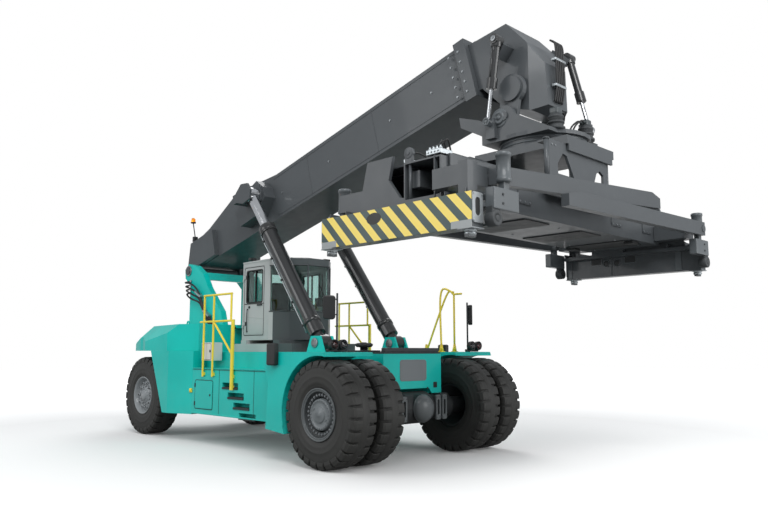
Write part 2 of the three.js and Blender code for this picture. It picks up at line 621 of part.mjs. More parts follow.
// ---------------------------------------------------------------- handrails
const RAIL_R = 20;
const RAIL_X = TANK_OUT + 36;
const RAIL_TOP = 2850;
const RAIL_MID = 2345;
const rail = (from, to, radius = RAIL_R) => rod(from, to, radius, 12);
for (const [name, side] of SIDES) {
  const x = side * RAIL_X;
  const clip = (y, z) => box(span(side, TANK_OUT + GAP, RAIL_X), [y - 30, y + 30], [z, z + 60]);
  piece(`handrail_${name}`, join(
    rail([x, 3870, 1300], [x, 3870, RAIL_TOP]),
    rail([x, 3530, 1300], [x, 3530, RAIL_TOP]),
    rail([x, 2930, RAIL_MID - 20], [x, 2930, RAIL_TOP]),
    rail([x, 2860, 1080], [x, 2860, RAIL_MID + 20], 34),
    rail([x, 3890, RAIL_TOP], [x, 2910, RAIL_TOP]),
    rail([x, 4000, RAIL_MID], [x, 2850, RAIL_MID]),
    rail([x, 3530, RAIL_MID], [x, 2870, 1720]),
    clip(3870, 1320), clip(3530, 1320), clip(2860, 1290), clip(2860, 1100),
  ), YELLOW, 0.45);
}

// ---------------------------------------------------------------- boom
const angle = THREE.MathUtils.degToRad(BOOM_ANGLE);
const AHEAD = [-Math.cos(angle), Math.sin(angle)];
const ABOVE = [Math.sin(angle), Math.cos(angle)];
const along = (s, h) => [
  PIVOT_Y + AHEAD[0] * s + ABOVE[0] * h,
  PIVOT_Z + AHEAD[1] * s + ABOVE[1] * h,
];
const boomPrism = (points, x) => prismX(points.map(([s, h]) => along(s, h)), x);
const toBoom = ([y, z]) => [
  (y - PIVOT_Y) * AHEAD[0] + (z - PIVOT_Z) * AHEAD[1],
  (y - PIVOT_Y) * ABOVE[0] + (z - PIVOT_Z) * ABOVE[1],
];
const EYE = toBoom(LIFT_EYE);
const HALF = BOOM_W / 2;
const INNER_HALF = HALF - BOOM_WALL - SLIDE_PLAY;
const INNER_LOW = BOOM_LOW + BOOM_WALL + SLIDE_PLAY;
const INNER_TOP = BOOM_TOP - BOOM_WALL - SLIDE_PLAY;

const FOOT_HALF = TOWER_IN - RUN;
const boomHull = boomPrism([
  [-280, 130], [-40, 720], [640, 830], [1990, BOOM_TOP + 240], [2500, BOOM_TOP + 110],
  [3300, BOOM_TOP], [BOOM_FRONT, BOOM_TOP], [BOOM_FRONT, BOOM_LOW], [900, BOOM_LOW], [200, 90],
], [-HALF, HALF]);
const boomFoot = join(
  boomPrism([[-280, 140], [-40, 700], [900, 700], [900, 90], [200, 90]], [-FOOT_HALF, FOOT_HALF]),
  [-1, 1].map((side) => boomPrism([
    [-150, 160], [-130, -60], [-60, -140], [60, -140], [140, -60], [200, 160],
  ], span(side, TOWER_IN - RUN - 90, TOWER_IN - RUN))),
);
const BOOM_INSIDE_REAR = INNER_REAR - 60;
const boomBore = boomPrism([
  [BOOM_INSIDE_REAR, BOOM_LOW + BOOM_WALL], [BOOM_FRONT + 10, BOOM_LOW + BOOM_WALL],
  [BOOM_FRONT + 10, BOOM_TOP - BOOM_WALL], [BOOM_INSIDE_REAR, BOOM_TOP - BOOM_WALL],
], [-HALF + BOOM_WALL, HALF - BOOM_WALL]);
const SHOULDER_OUT = 760;
const LUG_T = 40;
const shoulder = (side) => prismX([
  [4420, 4700], [4010, 5080], [3640, 5270], [3420, 5120], [3330, 4900], [3560, 4560], [4180, 4380],
], span(side, HALF - 5, SHOULDER_OUT));
const lug = (side, x) => boomPrism([
  [EYE[0] - 330, EYE[1] + 130], [EYE[0] - 100, EYE[1] + 260], [EYE[0] + 120, EYE[1] + 190],
  [EYE[0] + 190, EYE[1] + 20], [EYE[0] + 120, EYE[1] - 150], [EYE[0] - 120, EYE[1] - 170],
  [EYE[0] - 330, EYE[1] - 60],
], span(side, x[0], x[1]));
const SLOT_IN = LIFT_X - LIFT_EYE_W / 2 - RUN;
const SLOT_OUT = LIFT_X + LIFT_EYE_W / 2 + RUN;
const lugBridge = (side) => boomPrism([
  [EYE[0] - 430, EYE[1] + 130], [EYE[0] - 300, EYE[1] + 130], [EYE[0] - 300, EYE[1] - 60],
  [EYE[0] - 430, EYE[1] - 60],
], span(side, SHOULDER_OUT - 10, SLOT_OUT + LUG_T));
const collar = cut(
  boomPrism([
    [BOOM_FRONT - 160, BOOM_LOW - 60], [BOOM_FRONT + 60, BOOM_LOW - 60],
    [BOOM_FRONT + 60, BOOM_TOP + 50], [BOOM_FRONT - 160, BOOM_TOP + 50],
  ], [-HALF - 60, HALF + 60]),
  boomPrism([
    [BOOM_FRONT - 200, BOOM_LOW + BOOM_WALL], [BOOM_FRONT + 100, BOOM_LOW + BOOM_WALL],
    [BOOM_FRONT + 100, BOOM_TOP - BOOM_WALL], [BOOM_FRONT - 200, BOOM_TOP - BOOM_WALL],
  ], [-HALF + BOOM_WALL, HALF - BOOM_WALL]),
);
const slidePad = (h) => boomPrism([
  [BOOM_FRONT - 400, h[0]], [BOOM_FRONT, h[0]], [BOOM_FRONT, h[1]], [BOOM_FRONT - 400, h[1]],
], [-INNER_HALF + 40, INNER_HALF - 40]);
piece("boom_outer", join(cut(join(
  boomHull, boomFoot, collar,
  [-1, 1].map(shoulder),
  [-1, 1].map((side) => lug(side, [SHOULDER_OUT - 10, SLOT_IN])),
  [-1, 1].map((side) => lug(side, [SLOT_OUT, SLOT_OUT + LUG_T])),
  [-1, 1].map(lugBridge),
), boomBore),
slidePad([INNER_LOW - SLIDE_PLAY - 5, INNER_LOW - GAP]),
slidePad([INNER_TOP + GAP, INNER_TOP + SLIDE_PLAY + 5]),
rod([-TOWER_OUT - 40, PIVOT_Y, PIVOT_Z], [TOWER_OUT + 40, PIVOT_Y, PIVOT_Z], FOOT_PIN_R),
), GREY, 0.5);

// Boom foot pins stand in the tower.
// Inner boom and its head.
const headTop = along(9220, 887);
const headOutline = [
  along(BOOM_FRONT + 120, INNER_LOW), along(BOOM_FRONT + 120, INNER_TOP), headTop,
  [-2800, 6380], [-3020, 6030], [-3050, 5380], [-2860, 5300], [-2420, 5420],
];
const ear = (side) => {
  const x = span(side, EAR_OUT - EAR_T, EAR_OUT);
  return join(
    rod([x[0], -2620, 5640], [x[1], -2620, 5640], 230),
    bar([-2620, 5640], TILT_PIN, 330, x),
    rod([x[0], ...TILT_PIN], [x[1], ...TILT_PIN], 170),
  );
};
const INNER_WALL = 30;
piece("boom_inner", cut(join(
  boomPrism([[INNER_REAR, INNER_LOW], [BOOM_FRONT + 200, INNER_LOW],
    [BOOM_FRONT + 200, INNER_TOP], [INNER_REAR, INNER_TOP]], [-INNER_HALF, INNER_HALF]),
  cut(prismX(headOutline, [-INNER_HALF, INNER_HALF]),
    [-1, 1].map((side) => prismZ([
      [side * (INNER_HALF + 10), -2830], [side * (INNER_HALF + 10), -3200],
      [side * (INNER_HALF - 330), -3200],
    ], [4900, 7000]))),
  [-1, 1].map(ear),
  [-1, 1].map((side) => rod([side * (INNER_HALF - 20), -2620, 5640],
    [side * (EAR_OUT + 40), -2620, 5640], 190)),
  SIDES.map(([name, side]) => bar(TILT_TOP[name], [TILT_TOP[name][0] + 150, TILT_TOP[name][1] - 170],
    190, span(side, INNER_HALF - 20, TILT_X - TILT_EYE_W / 2 - GAP))),
), boomPrism([[INNER_REAR - 10, INNER_LOW + INNER_WALL], [BOOM_FRONT, INNER_LOW + INNER_WALL],
  [BOOM_FRONT, INNER_TOP - INNER_WALL], [INNER_REAR - 10, INNER_TOP - INNER_WALL]],
[-INNER_HALF + INNER_WALL, INNER_HALF - INNER_WALL]),
rod([-EAR_OUT - 100, ...TILT_PIN], [EAR_OUT + 100, ...TILT_PIN], turnFit(TILT_PIN_R))), GREY, 0.5);

// ---------------------------------------------------------------- cylinders
// A barrel from its pin towards the other pin, and a rod that runs in it up to its eye.
function barrelBody(x, foot, eye, length, radius, eyeR, eyeW, boreR, neck, washer) {
  const run = Math.hypot(eye[0] - foot[0], eye[1] - foot[1]);
  const dir = [(eye[0] - foot[0]) / run, (eye[1] - foot[1]) / run];
  const at = (d) => [x, foot[0] + dir[0] * d, foot[1] + dir[1] * d];
  return cut(join(
    rod([x - eyeW / 2, ...foot], [x + eyeW / 2, ...foot], eyeR),
    rod([x - eyeW / 2 - washer, ...foot], [x + eyeW / 2 + washer, ...foot], eyeR * 0.6),
    rod(at(eyeR * 0.5), at(neck + 10), eyeW * 0.46, 16),
    rod(at(neck), at(length), radius, 24),
    rod(at(length - 160), at(length), radius + 18, 24),
  ), rod(at(neck + 40), at(length + 10), boreR, 20));
}
function rodBody(x, foot, eye, rodLength, radius, eyeR, eyeW, washer) {
  const run = Math.hypot(eye[0] - foot[0], eye[1] - foot[1]);
  const dir = [(eye[0] - foot[0]) / run, (eye[1] - foot[1]) / run];
  const at = (d) => [x, foot[0] + dir[0] * d, foot[1] + dir[1] * d];
  return join(
    rod([x - eyeW / 2, ...eye], [x + eyeW / 2, ...eye], eyeR),
    rod([x - eyeW / 2 - washer, ...eye], [x + eyeW / 2 + washer, ...eye], eyeR * 0.6),
    rod(at(run - rodLength), at(run - eyeR * 0.5), radius, 20),
  );
}
for (const [name, side] of SIDES) {
  const x = side * LIFT_X;
  piece(`lift_barrel_${name}`, barrelBody(x, LIFT_BASE, LIFT_EYE, LIFT_BARREL_LEN, LIFT_BARREL_R,
    LIFT_EYE_R, LIFT_EYE_W, LIFT_ROD_R + BORE_PLAY, 190, RUN - GAP), DARK, 0.5);
  piece(`lift_rod_${name}`, rodBody(x, LIFT_BASE, LIFT_EYE, LIFT_ROD_LEN, LIFT_ROD_R, LIFT_EYE_R,
    LIFT_EYE_W, RUN - GAP), CHROME, 0.2, 0.9);
}

for (const [name, side] of SIDES) {
  const x = side * TILT_X;
  piece(`tilt_barrel_${name}`, barrelBody(x, TILT_TOP[name], TILT_FOOT[name], TILT_BARREL_LEN[name],
    62, 75, TILT_EYE_W, TILT_ROD_R + BORE_PLAY, 100, 0), DARK, 0.5);
  piece(`tilt_rod_${name}`, rodBody(x, TILT_TOP[name], TILT_FOOT[name], TILT_ROD_LEN[name],
    TILT_ROD_R, 62, TILT_FOOT_W, 0), CHROME, 0.2, 0.9);
}

// ---------------------------------------------------------------- rotator
const YOKE_IN = EAR_OUT + RUN;
const YOKE_TOP = YOKE_PLATE_LOW + YOKE_PLATE_T;
const yokePlate = new THREE.Shape();
yokePlate.absarc(0, SLEW_Y, RING_R + 60, 0, Math.PI * 2, false);
const yokeSide = (side) => {
  const x = span(side, YOKE_IN, YOKE_IN + YOKE_T);
  return join(
    rod([x[0], ...TILT_PIN], [x[1], ...TILT_PIN], 165),
    prismX([
      [TILT_PIN[0] - 160, TILT_PIN[1] + 20], [TILT_PIN[0] + 160, TILT_PIN[1] + 20],
      [-2140, YOKE_TOP + 120], [-2140, YOKE_TOP - 10], [-3300, YOKE_TOP - 10], [-3180, YOKE_TOP + 60],
    ], x),
  );
};
piece("rotator_yoke", join(
  prismZ(yokePlate, [YOKE_PLATE_LOW, YOKE_TOP]),
  box([-YOKE_IN - YOKE_T, YOKE_IN + YOKE_T], [-3300, -2140], [YOKE_TOP - 60, YOKE_TOP - 5]),
  [-1, 1].map(yokeSide),
  [-1, 1].map((side) => rod([side * (EAR_OUT - EAR_T), ...TILT_PIN],
    [side * (YOKE_IN + YOKE_T + 25), ...TILT_PIN], TILT_PIN_R)),
  SIDES.map(([name, side]) => box(span(side, YOKE_IN + 5, TILT_X - TILT_FOOT_W / 2 - GAP),
    [TILT_FOOT[name][0] - 80, TILT_FOOT[name][0] + 80], [YOKE_TOP - 10, TILT_FOOT[name][1] + 60])),
  prismX([[-1700, 5390], [-2090, 5260], [-2400, 5080], [-2380, 4870], [-1730, 5220]],
    [-YOKE_IN - YOKE_T, -YOKE_IN - 20]),
), GREY, 0.5);
const motor = (x) => join(
  rod([x, -3240, YOKE_TOP + GAP], [x, -3240, YOKE_TOP + 120], 130, 24),
  rod([x, -3240, YOKE_TOP + 110], [x, -3240, YOKE_TOP + 330], 115, 24),
);
piece("slew_motor_right", motor(-380), PALE, 0.4, 0.5);
piece("slew_motor_left", motor(440), PALE, 0.4, 0.5);

const CARRIAGE_TOP = YOKE_PLATE_LOW - GAP;
const CRADLE_TOP = 4610;
const CRADLE_HALF = 770;
const CRADLE_Y = 760;               // outer face of the cradle plates, from the slew axis
const CRADLE_T = 40;
const LIP = 34;
piece("slew_carriage", join(
  rod([0, SLEW_Y, CARRIAGE_TOP - RING_H], [0, SLEW_Y, CARRIAGE_TOP], RING_R, 40),
  box([-640, 640], [SLEW_Y - CRADLE_Y - RUN - LIP, SLEW_Y + CRADLE_Y + RUN + LIP],
    [CRADLE_TOP + GAP, CARRIAGE_TOP - RING_H + 5]),
  [-1, 1].map((row) => box([-600, 600],
    row < 0 ? [SLEW_Y - CRADLE_Y - RUN - LIP, SLEW_Y - CRADLE_Y - RUN]
      : [SLEW_Y + CRADLE_Y + RUN, SLEW_Y + CRADLE_Y + RUN + LIP], [CRADLE_TOP - 90, CRADLE_TOP + 10])),
), GREY, 0.5);

// ---------------------------------------------------------------- spreader
const frameX = [SHIFT - FRAME_HALF_X, SHIFT + FRAME_HALF_X];
const frameY = [SLEW_Y - FRAME_HALF_Y, SLEW_Y + FRAME_HALF_Y];
const channel = (sign) => [
  SLEW_Y + (sign < 0 ? -FRAME_HALF_Y + FRAME_WALL : FRAME_WALL / 2),
  SLEW_Y + (sign < 0 ? -FRAME_WALL / 2 : FRAME_HALF_Y - FRAME_WALL),
];
const channelZ = [FRAME_LOW + FRAME_WALL, FRAME_TOP - FRAME_WALL];
// The cradle: two plates across the frame with flanges that the slew carriage slides on.
const across = (row, near, far) => (row < 0 ? [SLEW_Y - far, SLEW_Y - near] : [SLEW_Y + near, SLEW_Y + far]);
const cradle = (row) => {
  const plate = cut(
    box([SHIFT - CRADLE_HALF, SHIFT + CRADLE_HALF], across(row, CRADLE_Y - CRADLE_T, CRADLE_Y),
      [FRAME_TOP - 220, CRADLE_TOP]),
    prismY([[SHIFT - 560, 4160], [SHIFT - 560, 4300], [SHIFT - 430, 4460], [SHIFT - 330, 4440],
      [SHIFT - 160, 4160]], across(row, CRADLE_Y - CRADLE_T - 10, CRADLE_Y + 10)),
    prismY([[SHIFT + 380, 4160], [SHIFT + 460, 4330], [SHIFT + 560, 4380], [SHIFT + 660, 4330],
      [SHIFT + 660, 4160]], across(row, CRADLE_Y - CRADLE_T - 10, CRADLE_Y + 10)),
  );
  return join(plate,
    box([SHIFT - CRADLE_HALF, SHIFT + CRADLE_HALF], across(row, FRAME_HALF_Y - 10, CRADLE_Y - 10),
      [FRAME_TOP - 140, FRAME_TOP - 60]),
    box([SHIFT - CRADLE_HALF, SHIFT + CRADLE_HALF], across(row, CRADLE_Y - 180, CRADLE_Y),
      [CRADLE_TOP - 30, CRADLE_TOP]));
};
piece("spreader_frame", join(
  cut(box(frameX, frameY, [FRAME_LOW, FRAME_TOP]),
    [-1, 1].map((sign) => box([frameX[0] - 10, frameX[1] + 10], channel(sign), channelZ))),
  cradle(-1), cradle(1),
  [-1, 1].map((sign) => box(sign < 0 ? [frameX[0], frameX[0] + 300] : [frameX[1] - 300, frameX[1]],
    [channel(sign)[0] + 60, channel(sign)[1] - 60], [channelZ[0] - 5, channelZ[0] + ARM_PLAY - GAP])),
), GREY, 0.5);

const ARM_WALL = 20;
const ARM_LEN = 2 * FRAME_HALF_X - 120;
const BEAM_END = SHIFT - FRAME_HALF_X - 130;        // open end of the box beam
const FACE_IN = SHIFT - FRAME_HALF_X - RUN;         // nearest the frame that the end may reach
const LOCK_AT = SHIFT - LOCK_X;
const armY = [channel(-1)[0] + ARM_PLAY, channel(-1)[1] - ARM_PLAY];
const armZ = [channelZ[0] + ARM_PLAY, channelZ[1] - ARM_PLAY];
const lock = (row) => {
  const y = SLEW_Y + row * LOCK_Y;
  return join(
    box([LOCK_AT - 95, LOCK_AT + 95], [y - 95, y + 95], [END_LOW - 10, END_TOP]),
    rod([LOCK_AT, y, LOCK_TIP + 30], [LOCK_AT, y, END_LOW], 45, 20),
    box([LOCK_AT - 60, LOCK_AT + 60], [y - 30, y + 30], [LOCK_TIP, LOCK_TIP + 60]),
  );
};
const LEG_ROOT = LOCK_Y + 20;       // outer face of a leg bracket, from the slew axis
const armRight = join(
  cut(box([BEAM_END, BEAM_END + ARM_LEN], armY, armZ),
    box([BEAM_END - 10, BEAM_END + ARM_LEN + 10], [armY[0] + ARM_WALL, armY[1] - ARM_WALL],
      [armZ[0] + ARM_WALL, armZ[1] - ARM_WALL])),
  box([LOCK_AT - 95, LOCK_AT + 95], [SLEW_Y - LOCK_Y - 60, SLEW_Y + LOCK_Y + 60], [END_LOW, END_TOP]),
  lock(-1), lock(1),
  box([LOCK_AT + 80, FACE_IN], [SLEW_Y - LOCK_Y - 60, SLEW_Y + LOCK_Y + 60], [END_TOP - 60, END_TOP]),
  box([BEAM_END, FACE_IN], armY, [END_TOP - 10, armZ[0] + 10]),
  prismX([
    [SLEW_Y + LOCK_Y, END_TOP - 10], [-2060, 3790], [-2150, 4150], [-2600, 4150], [-2530, 3860],
    [-2720, 3620], [armY[1] - 5, 3600], [armY[1] - 5, END_TOP - 10],
  ], [BEAM_END, BEAM_END + 50]),
  box([LOCK_AT - 60, LOCK_AT + 110], across(-1, LEG_ROOT - 130, LEG_ROOT), [END_TOP - 10, END_TOP + 360]),
  box([LOCK_AT - 60, SHIFT - LEG_HINGE_X + 120], across(-1, FRAME_HALF_Y + RUN, LEG_ROOT),
    [END_TOP + 100, END_TOP + 330]),
  box([BEAM_END, SHIFT - LEG_HINGE_X + 120], across(1, FRAME_HALF_Y + RUN, LEG_ROOT),
    [END_TOP + 100, END_TOP + 330]),
);
const halfTurn = (body) => body.translate([-SHIFT, -SLEW_Y, 0]).rotate([0, 0, 180]).translate([SHIFT, SLEW_Y, 0]);
piece("spreader_arm_right", armRight, GREY, 0.5);
piece("spreader_arm_left", halfTurn(armRight), GREY, 0.5);

// Folding legs: each lies along the spreader, hinged near its own end of it.
const LEG_Z = 3700;
const LEG_GAP = 12;
for (const [end, side] of SIDES) {
  for (const [face, row] of [["front", -1], ["rear", 1]]) {
    const plane = side < 0 ? 0 : 1;
    const hingeX = SHIFT + side * LEG_HINGE_X;
    const near = LOCK_Y + 20 + LEG_GAP + plane * (LEG_T + 20);
    const y = row < 0 ? [SLEW_Y - near - LEG_T, SLEW_Y - near] : [SLEW_Y + near, SLEW_Y + near + LEG_T];
    const pinY = row < 0 ? [SLEW_Y - near - LEG_T - 10, SLEW_Y - LOCK_Y - 20 - GAP]
      : [SLEW_Y + LOCK_Y + 20 + GAP, SLEW_Y + near + LEG_T + 10];
    const tilt = side < 0 ? 0.07 : -0.02;
    const reach = -side * LEG_LEN;
    const low = LEG_Z - LEG_DEPTH / 2;
    const high = LEG_Z + LEG_DEPTH / 2;
    const rise = Math.abs(reach) * Math.abs(tilt) * Math.sign(side < 0 ? 1 : -1);
    piece(`bottom_leg_${face}_${end}`, join(
      prismY([
        [hingeX + side * 60, low], [hingeX + reach, low + rise], [hingeX + reach, high + rise - 60],
        [hingeX + reach + side * 250, high + rise], [hingeX + side * 60, high],
      ], y),
      rod([hingeX, pinY[0], LEG_Z], [hingeX, pinY[1], LEG_Z], 60, 24),
    ), GREY, 0.5);
  }
}

// ---------------------------------------------------------------- place the whole on its origin
const bounds = new THREE.Box3().setFromObject(truck);
const centre = bounds.getCenter(new THREE.Vector3());
truck.position.set(-centre.x, -centre.y, -bounds.min.z);
truck.updateMatrixWorld(true);

export default truck;
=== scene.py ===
"""Looks for the reach stacker: paints, rubber, glass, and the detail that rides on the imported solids."""

import math

import bmesh
import bpy
from mathutils import Matrix, Vector


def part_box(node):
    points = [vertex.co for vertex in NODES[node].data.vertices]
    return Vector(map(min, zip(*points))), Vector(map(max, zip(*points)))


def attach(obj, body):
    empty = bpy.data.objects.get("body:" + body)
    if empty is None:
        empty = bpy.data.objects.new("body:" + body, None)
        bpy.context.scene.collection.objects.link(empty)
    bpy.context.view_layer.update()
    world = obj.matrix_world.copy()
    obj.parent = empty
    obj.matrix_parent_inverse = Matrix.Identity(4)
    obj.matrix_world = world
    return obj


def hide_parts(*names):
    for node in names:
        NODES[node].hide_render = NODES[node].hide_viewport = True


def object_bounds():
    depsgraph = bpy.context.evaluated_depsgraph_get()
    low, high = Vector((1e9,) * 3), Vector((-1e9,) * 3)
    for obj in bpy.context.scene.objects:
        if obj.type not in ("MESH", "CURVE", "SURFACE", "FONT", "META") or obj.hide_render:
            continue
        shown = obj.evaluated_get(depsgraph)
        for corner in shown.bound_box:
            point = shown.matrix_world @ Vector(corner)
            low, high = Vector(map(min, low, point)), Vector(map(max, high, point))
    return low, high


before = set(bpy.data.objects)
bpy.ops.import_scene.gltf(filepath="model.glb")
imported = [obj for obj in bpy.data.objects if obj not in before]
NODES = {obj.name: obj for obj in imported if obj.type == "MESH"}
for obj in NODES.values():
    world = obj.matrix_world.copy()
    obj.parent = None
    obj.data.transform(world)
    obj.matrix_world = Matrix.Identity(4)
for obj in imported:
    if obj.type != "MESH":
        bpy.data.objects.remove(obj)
CAD_BOX = [list(corner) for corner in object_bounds()]
SIDES = [("right", -1), ("left", 1)]

# The ground point under the middle of the front axle: every place below is given from it, in metres.
tyre_low, tyre_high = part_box("tyre_front_right_outer")
mate_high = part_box("tyre_front_left_outer")[1]
TYRE_R = (tyre_high.z - tyre_low.z) / 2
HOME = Vector(((tyre_low.x + mate_high.x) / 2, (tyre_low.y + tyre_high.y) / 2, 0))

# Places that several pieces share.
DECK_TOP = 1.77                                 # where rails, masts and lamps stand
FOOT_PIN_Y, FOOT_PIN_Z = 6.25, 3.6              # the boom's foot pin, on the tower
LIFT_FOOT_Y, LIFT_FOOT_Z = 1.28, 1.93           # the lift cylinders' feet, on the chassis
HANGER_Y, HANGER_Z = -2.55, 5.22                # the hanger pins of the yoke
SLEW_Y = -2.77                                  # the axis that the spreader slews about


def place(x, y, z):
    """A point in the row frame from its place on the truck."""
    return HOME + Vector((x, y, z))


# ---------------------------------------------------------------- materials

def paint_colour(code):
    """Linear RGBA from an sRGB hex code."""
    parts = [int(code[i:i + 2], 16) / 255 for i in (1, 3, 5)]
    return [c / 12.92 if c <= 0.04045 else ((c + 0.055) / 1.055) ** 2.4 for c in parts] + [1]


def add(tree, kind, inputs=None, **settings):
    """Adds a node, sets its settings, and sets or links its inputs."""
    made = tree.nodes.new(kind)
    for key, value in settings.items():
        setattr(made, key, value)
    for key, value in (inputs or {}).items():
        socket = made.inputs[key]
        if isinstance(value, bpy.types.NodeSocket):
            tree.links.new(value, socket)
        else:
            socket.default_value = value
    return made


def new_material(name, **constants):
    """A material with one shader. The constants are set on the shader's own sockets."""
    made = bpy.data.materials.new(name)
    made.use_nodes = True
    tree = made.node_tree
    tree.nodes.clear()
    shader = add(tree, "ShaderNodeBsdfPrincipled", {k.replace("_", " "): v for k, v in constants.items()})
    out = add(tree, "ShaderNodeOutputMaterial")
    tree.links.new(shader.outputs[0], out.inputs[0])
    place_on = add(tree, "ShaderNodeTexCoord").outputs["Object"]
    return made, tree, shader, place_on


def ramp(tree, factor, stops):
    """A colour ramp over (position, colour) stops."""
    made = add(tree, "ShaderNodeValToRGB", {"Fac": factor})
    band = made.color_ramp
    while len(band.elements) < len(stops):
        band.elements.new(0.5)
    for element, (at, colour) in zip(band.elements, stops):
        element.position, element.color = at, colour
    return made.outputs["Color"]


def shade(code, factor):
    """A colour some way darker or lighter than the hex code."""
    return [c * factor for c in paint_colour(code)[:3]] + [1]


def enamel(name, code, roughness, coat=0.0, peel=0.05, dust=0.06, edge=0.006,
           marks_and_shade=None):
    """Sprayed enamel on plate: faint orange peel 15 mm across, film tone that drifts over a metre,
    a little road dust on what faces up or lies low, and edges rounded by the thickness of the film."""
    made, tree, shader, spot = new_material(name, Coat_Weight=coat, Coat_Roughness=0.08, Specular_IOR_Level=0.3)
    drift = add(tree, "ShaderNodeTexNoise", {"Vector": spot, "Scale": 1.1, "Detail": 3.0}).outputs["Fac"]
    tone = ramp(tree, drift, [(0.3, shade(code, 0.92)), (0.7, shade(code, 1.06))])
    # The marks can carry painted shade: the cab's darkened nose and the black oval opening on the spreader's end faces.
    if marks_and_shade:
        tone = marks_and_shade(tree, spot, tone)
    height = add(tree, "ShaderNodeSeparateXYZ", {"Vector": spot}).outputs["Z"]
    low = add(tree, "ShaderNodeMapRange", {"Value": height, "From Min": 1.3, "From Max": 0.2}).outputs["Result"]
    facing = add(tree, "ShaderNodeNewGeometry").outputs["Normal"]
    upward = add(tree, "ShaderNodeSeparateXYZ", {"Vector": facing}).outputs["Z"]
    settled = add(tree, "ShaderNodeMapRange", {"Value": upward, "From Min": 0.6, "From Max": 1.0}).outputs["Result"]
    both = add(tree, "ShaderNodeMath", {0: low, 1: settled}, operation="MAXIMUM").outputs[0]
    patch = add(tree, "ShaderNodeTexNoise", {"Vector": spot, "Scale": 5.0, "Detail": 6.0}).outputs["Fac"]
    film = add(tree, "ShaderNodeMath", {0: both, 1: patch}, operation="MULTIPLY").outputs[0]
    amount = add(tree, "ShaderNodeMath", {0: film, 1: dust}, operation="MULTIPLY").outputs[0]
    dusty = add(tree, "ShaderNodeMix", {"Factor": amount, 6: tone, 7: paint_colour("#b9b3a6")}, data_type="RGBA")
    tree.links.new(dusty.outputs[2], shader.inputs["Base Color"])
    matt = add(tree, "ShaderNodeMapRange", {"Value": patch, "From Min": 0.3, "From Max": 0.7,
                                            "To Min": roughness - 0.04, "To Max": roughness + 0.05})
    tree.links.new(matt.outputs["Result"], shader.inputs["Roughness"])
    skin = add(tree, "ShaderNodeTexNoise", {"Vector": spot, "Scale": 65.0, "Detail": 1.0}).outputs["Fac"]
    rounded = add(tree, "ShaderNodeBevel", {"Radius": edge}, samples=4).outputs["Normal"]
    bump = add(tree, "ShaderNodeBump", {"Height": skin, "Strength": peel, "Distance": 0.002, "Normal": rounded})
    tree.links.new(bump.outputs["Normal"], shader.inputs["Normal"])
    return made


def plain(name, code, roughness, metallic=0.0, grain=180.0, depth=0.08, vary=0.1, **constants):
    """Moulded, cast or turned surface: a fine grain in the bump and a small change of tone and gloss."""
    made, tree, shader, spot = new_material(name, Metallic=metallic, **constants)
    cloud = add(tree, "ShaderNodeTexNoise", {"Vector": spot, "Scale": 6.0, "Detail": 5.0}).outputs["Fac"]
    tone = ramp(tree, cloud, [(0.3, shade(code, 1 - vary)), (0.7, shade(code, 1 + vary))])
    tree.links.new(tone, shader.inputs["Base Color"])
    matt = add(tree, "ShaderNodeMapRange", {"Value": cloud, "From Min": 0.3, "From Max": 0.7,
                                            "To Min": max(0.02, roughness - 0.06), "To Max": roughness + 0.06})
    tree.links.new(matt.outputs["Result"], shader.inputs["Roughness"])
    fine = add(tree, "ShaderNodeTexNoise", {"Vector": spot, "Scale": grain, "Detail": 2.0}).outputs["Fac"]
    bump = add(tree, "ShaderNodeBump", {"Height": fine, "Strength": depth, "Distance": 0.002})
    tree.links.new(bump.outputs["Normal"], shader.inputs["Normal"])
    return made


STRIPE_PAIR = 0.252         # one yellow and one dark stripe, up the face: 90 mm each, square to their edges
STRIPE_SLOPE = 0.98
BARE_FROM, BARE_BELOW = 0.94, 3.165             # the castings at an end face's lower corners


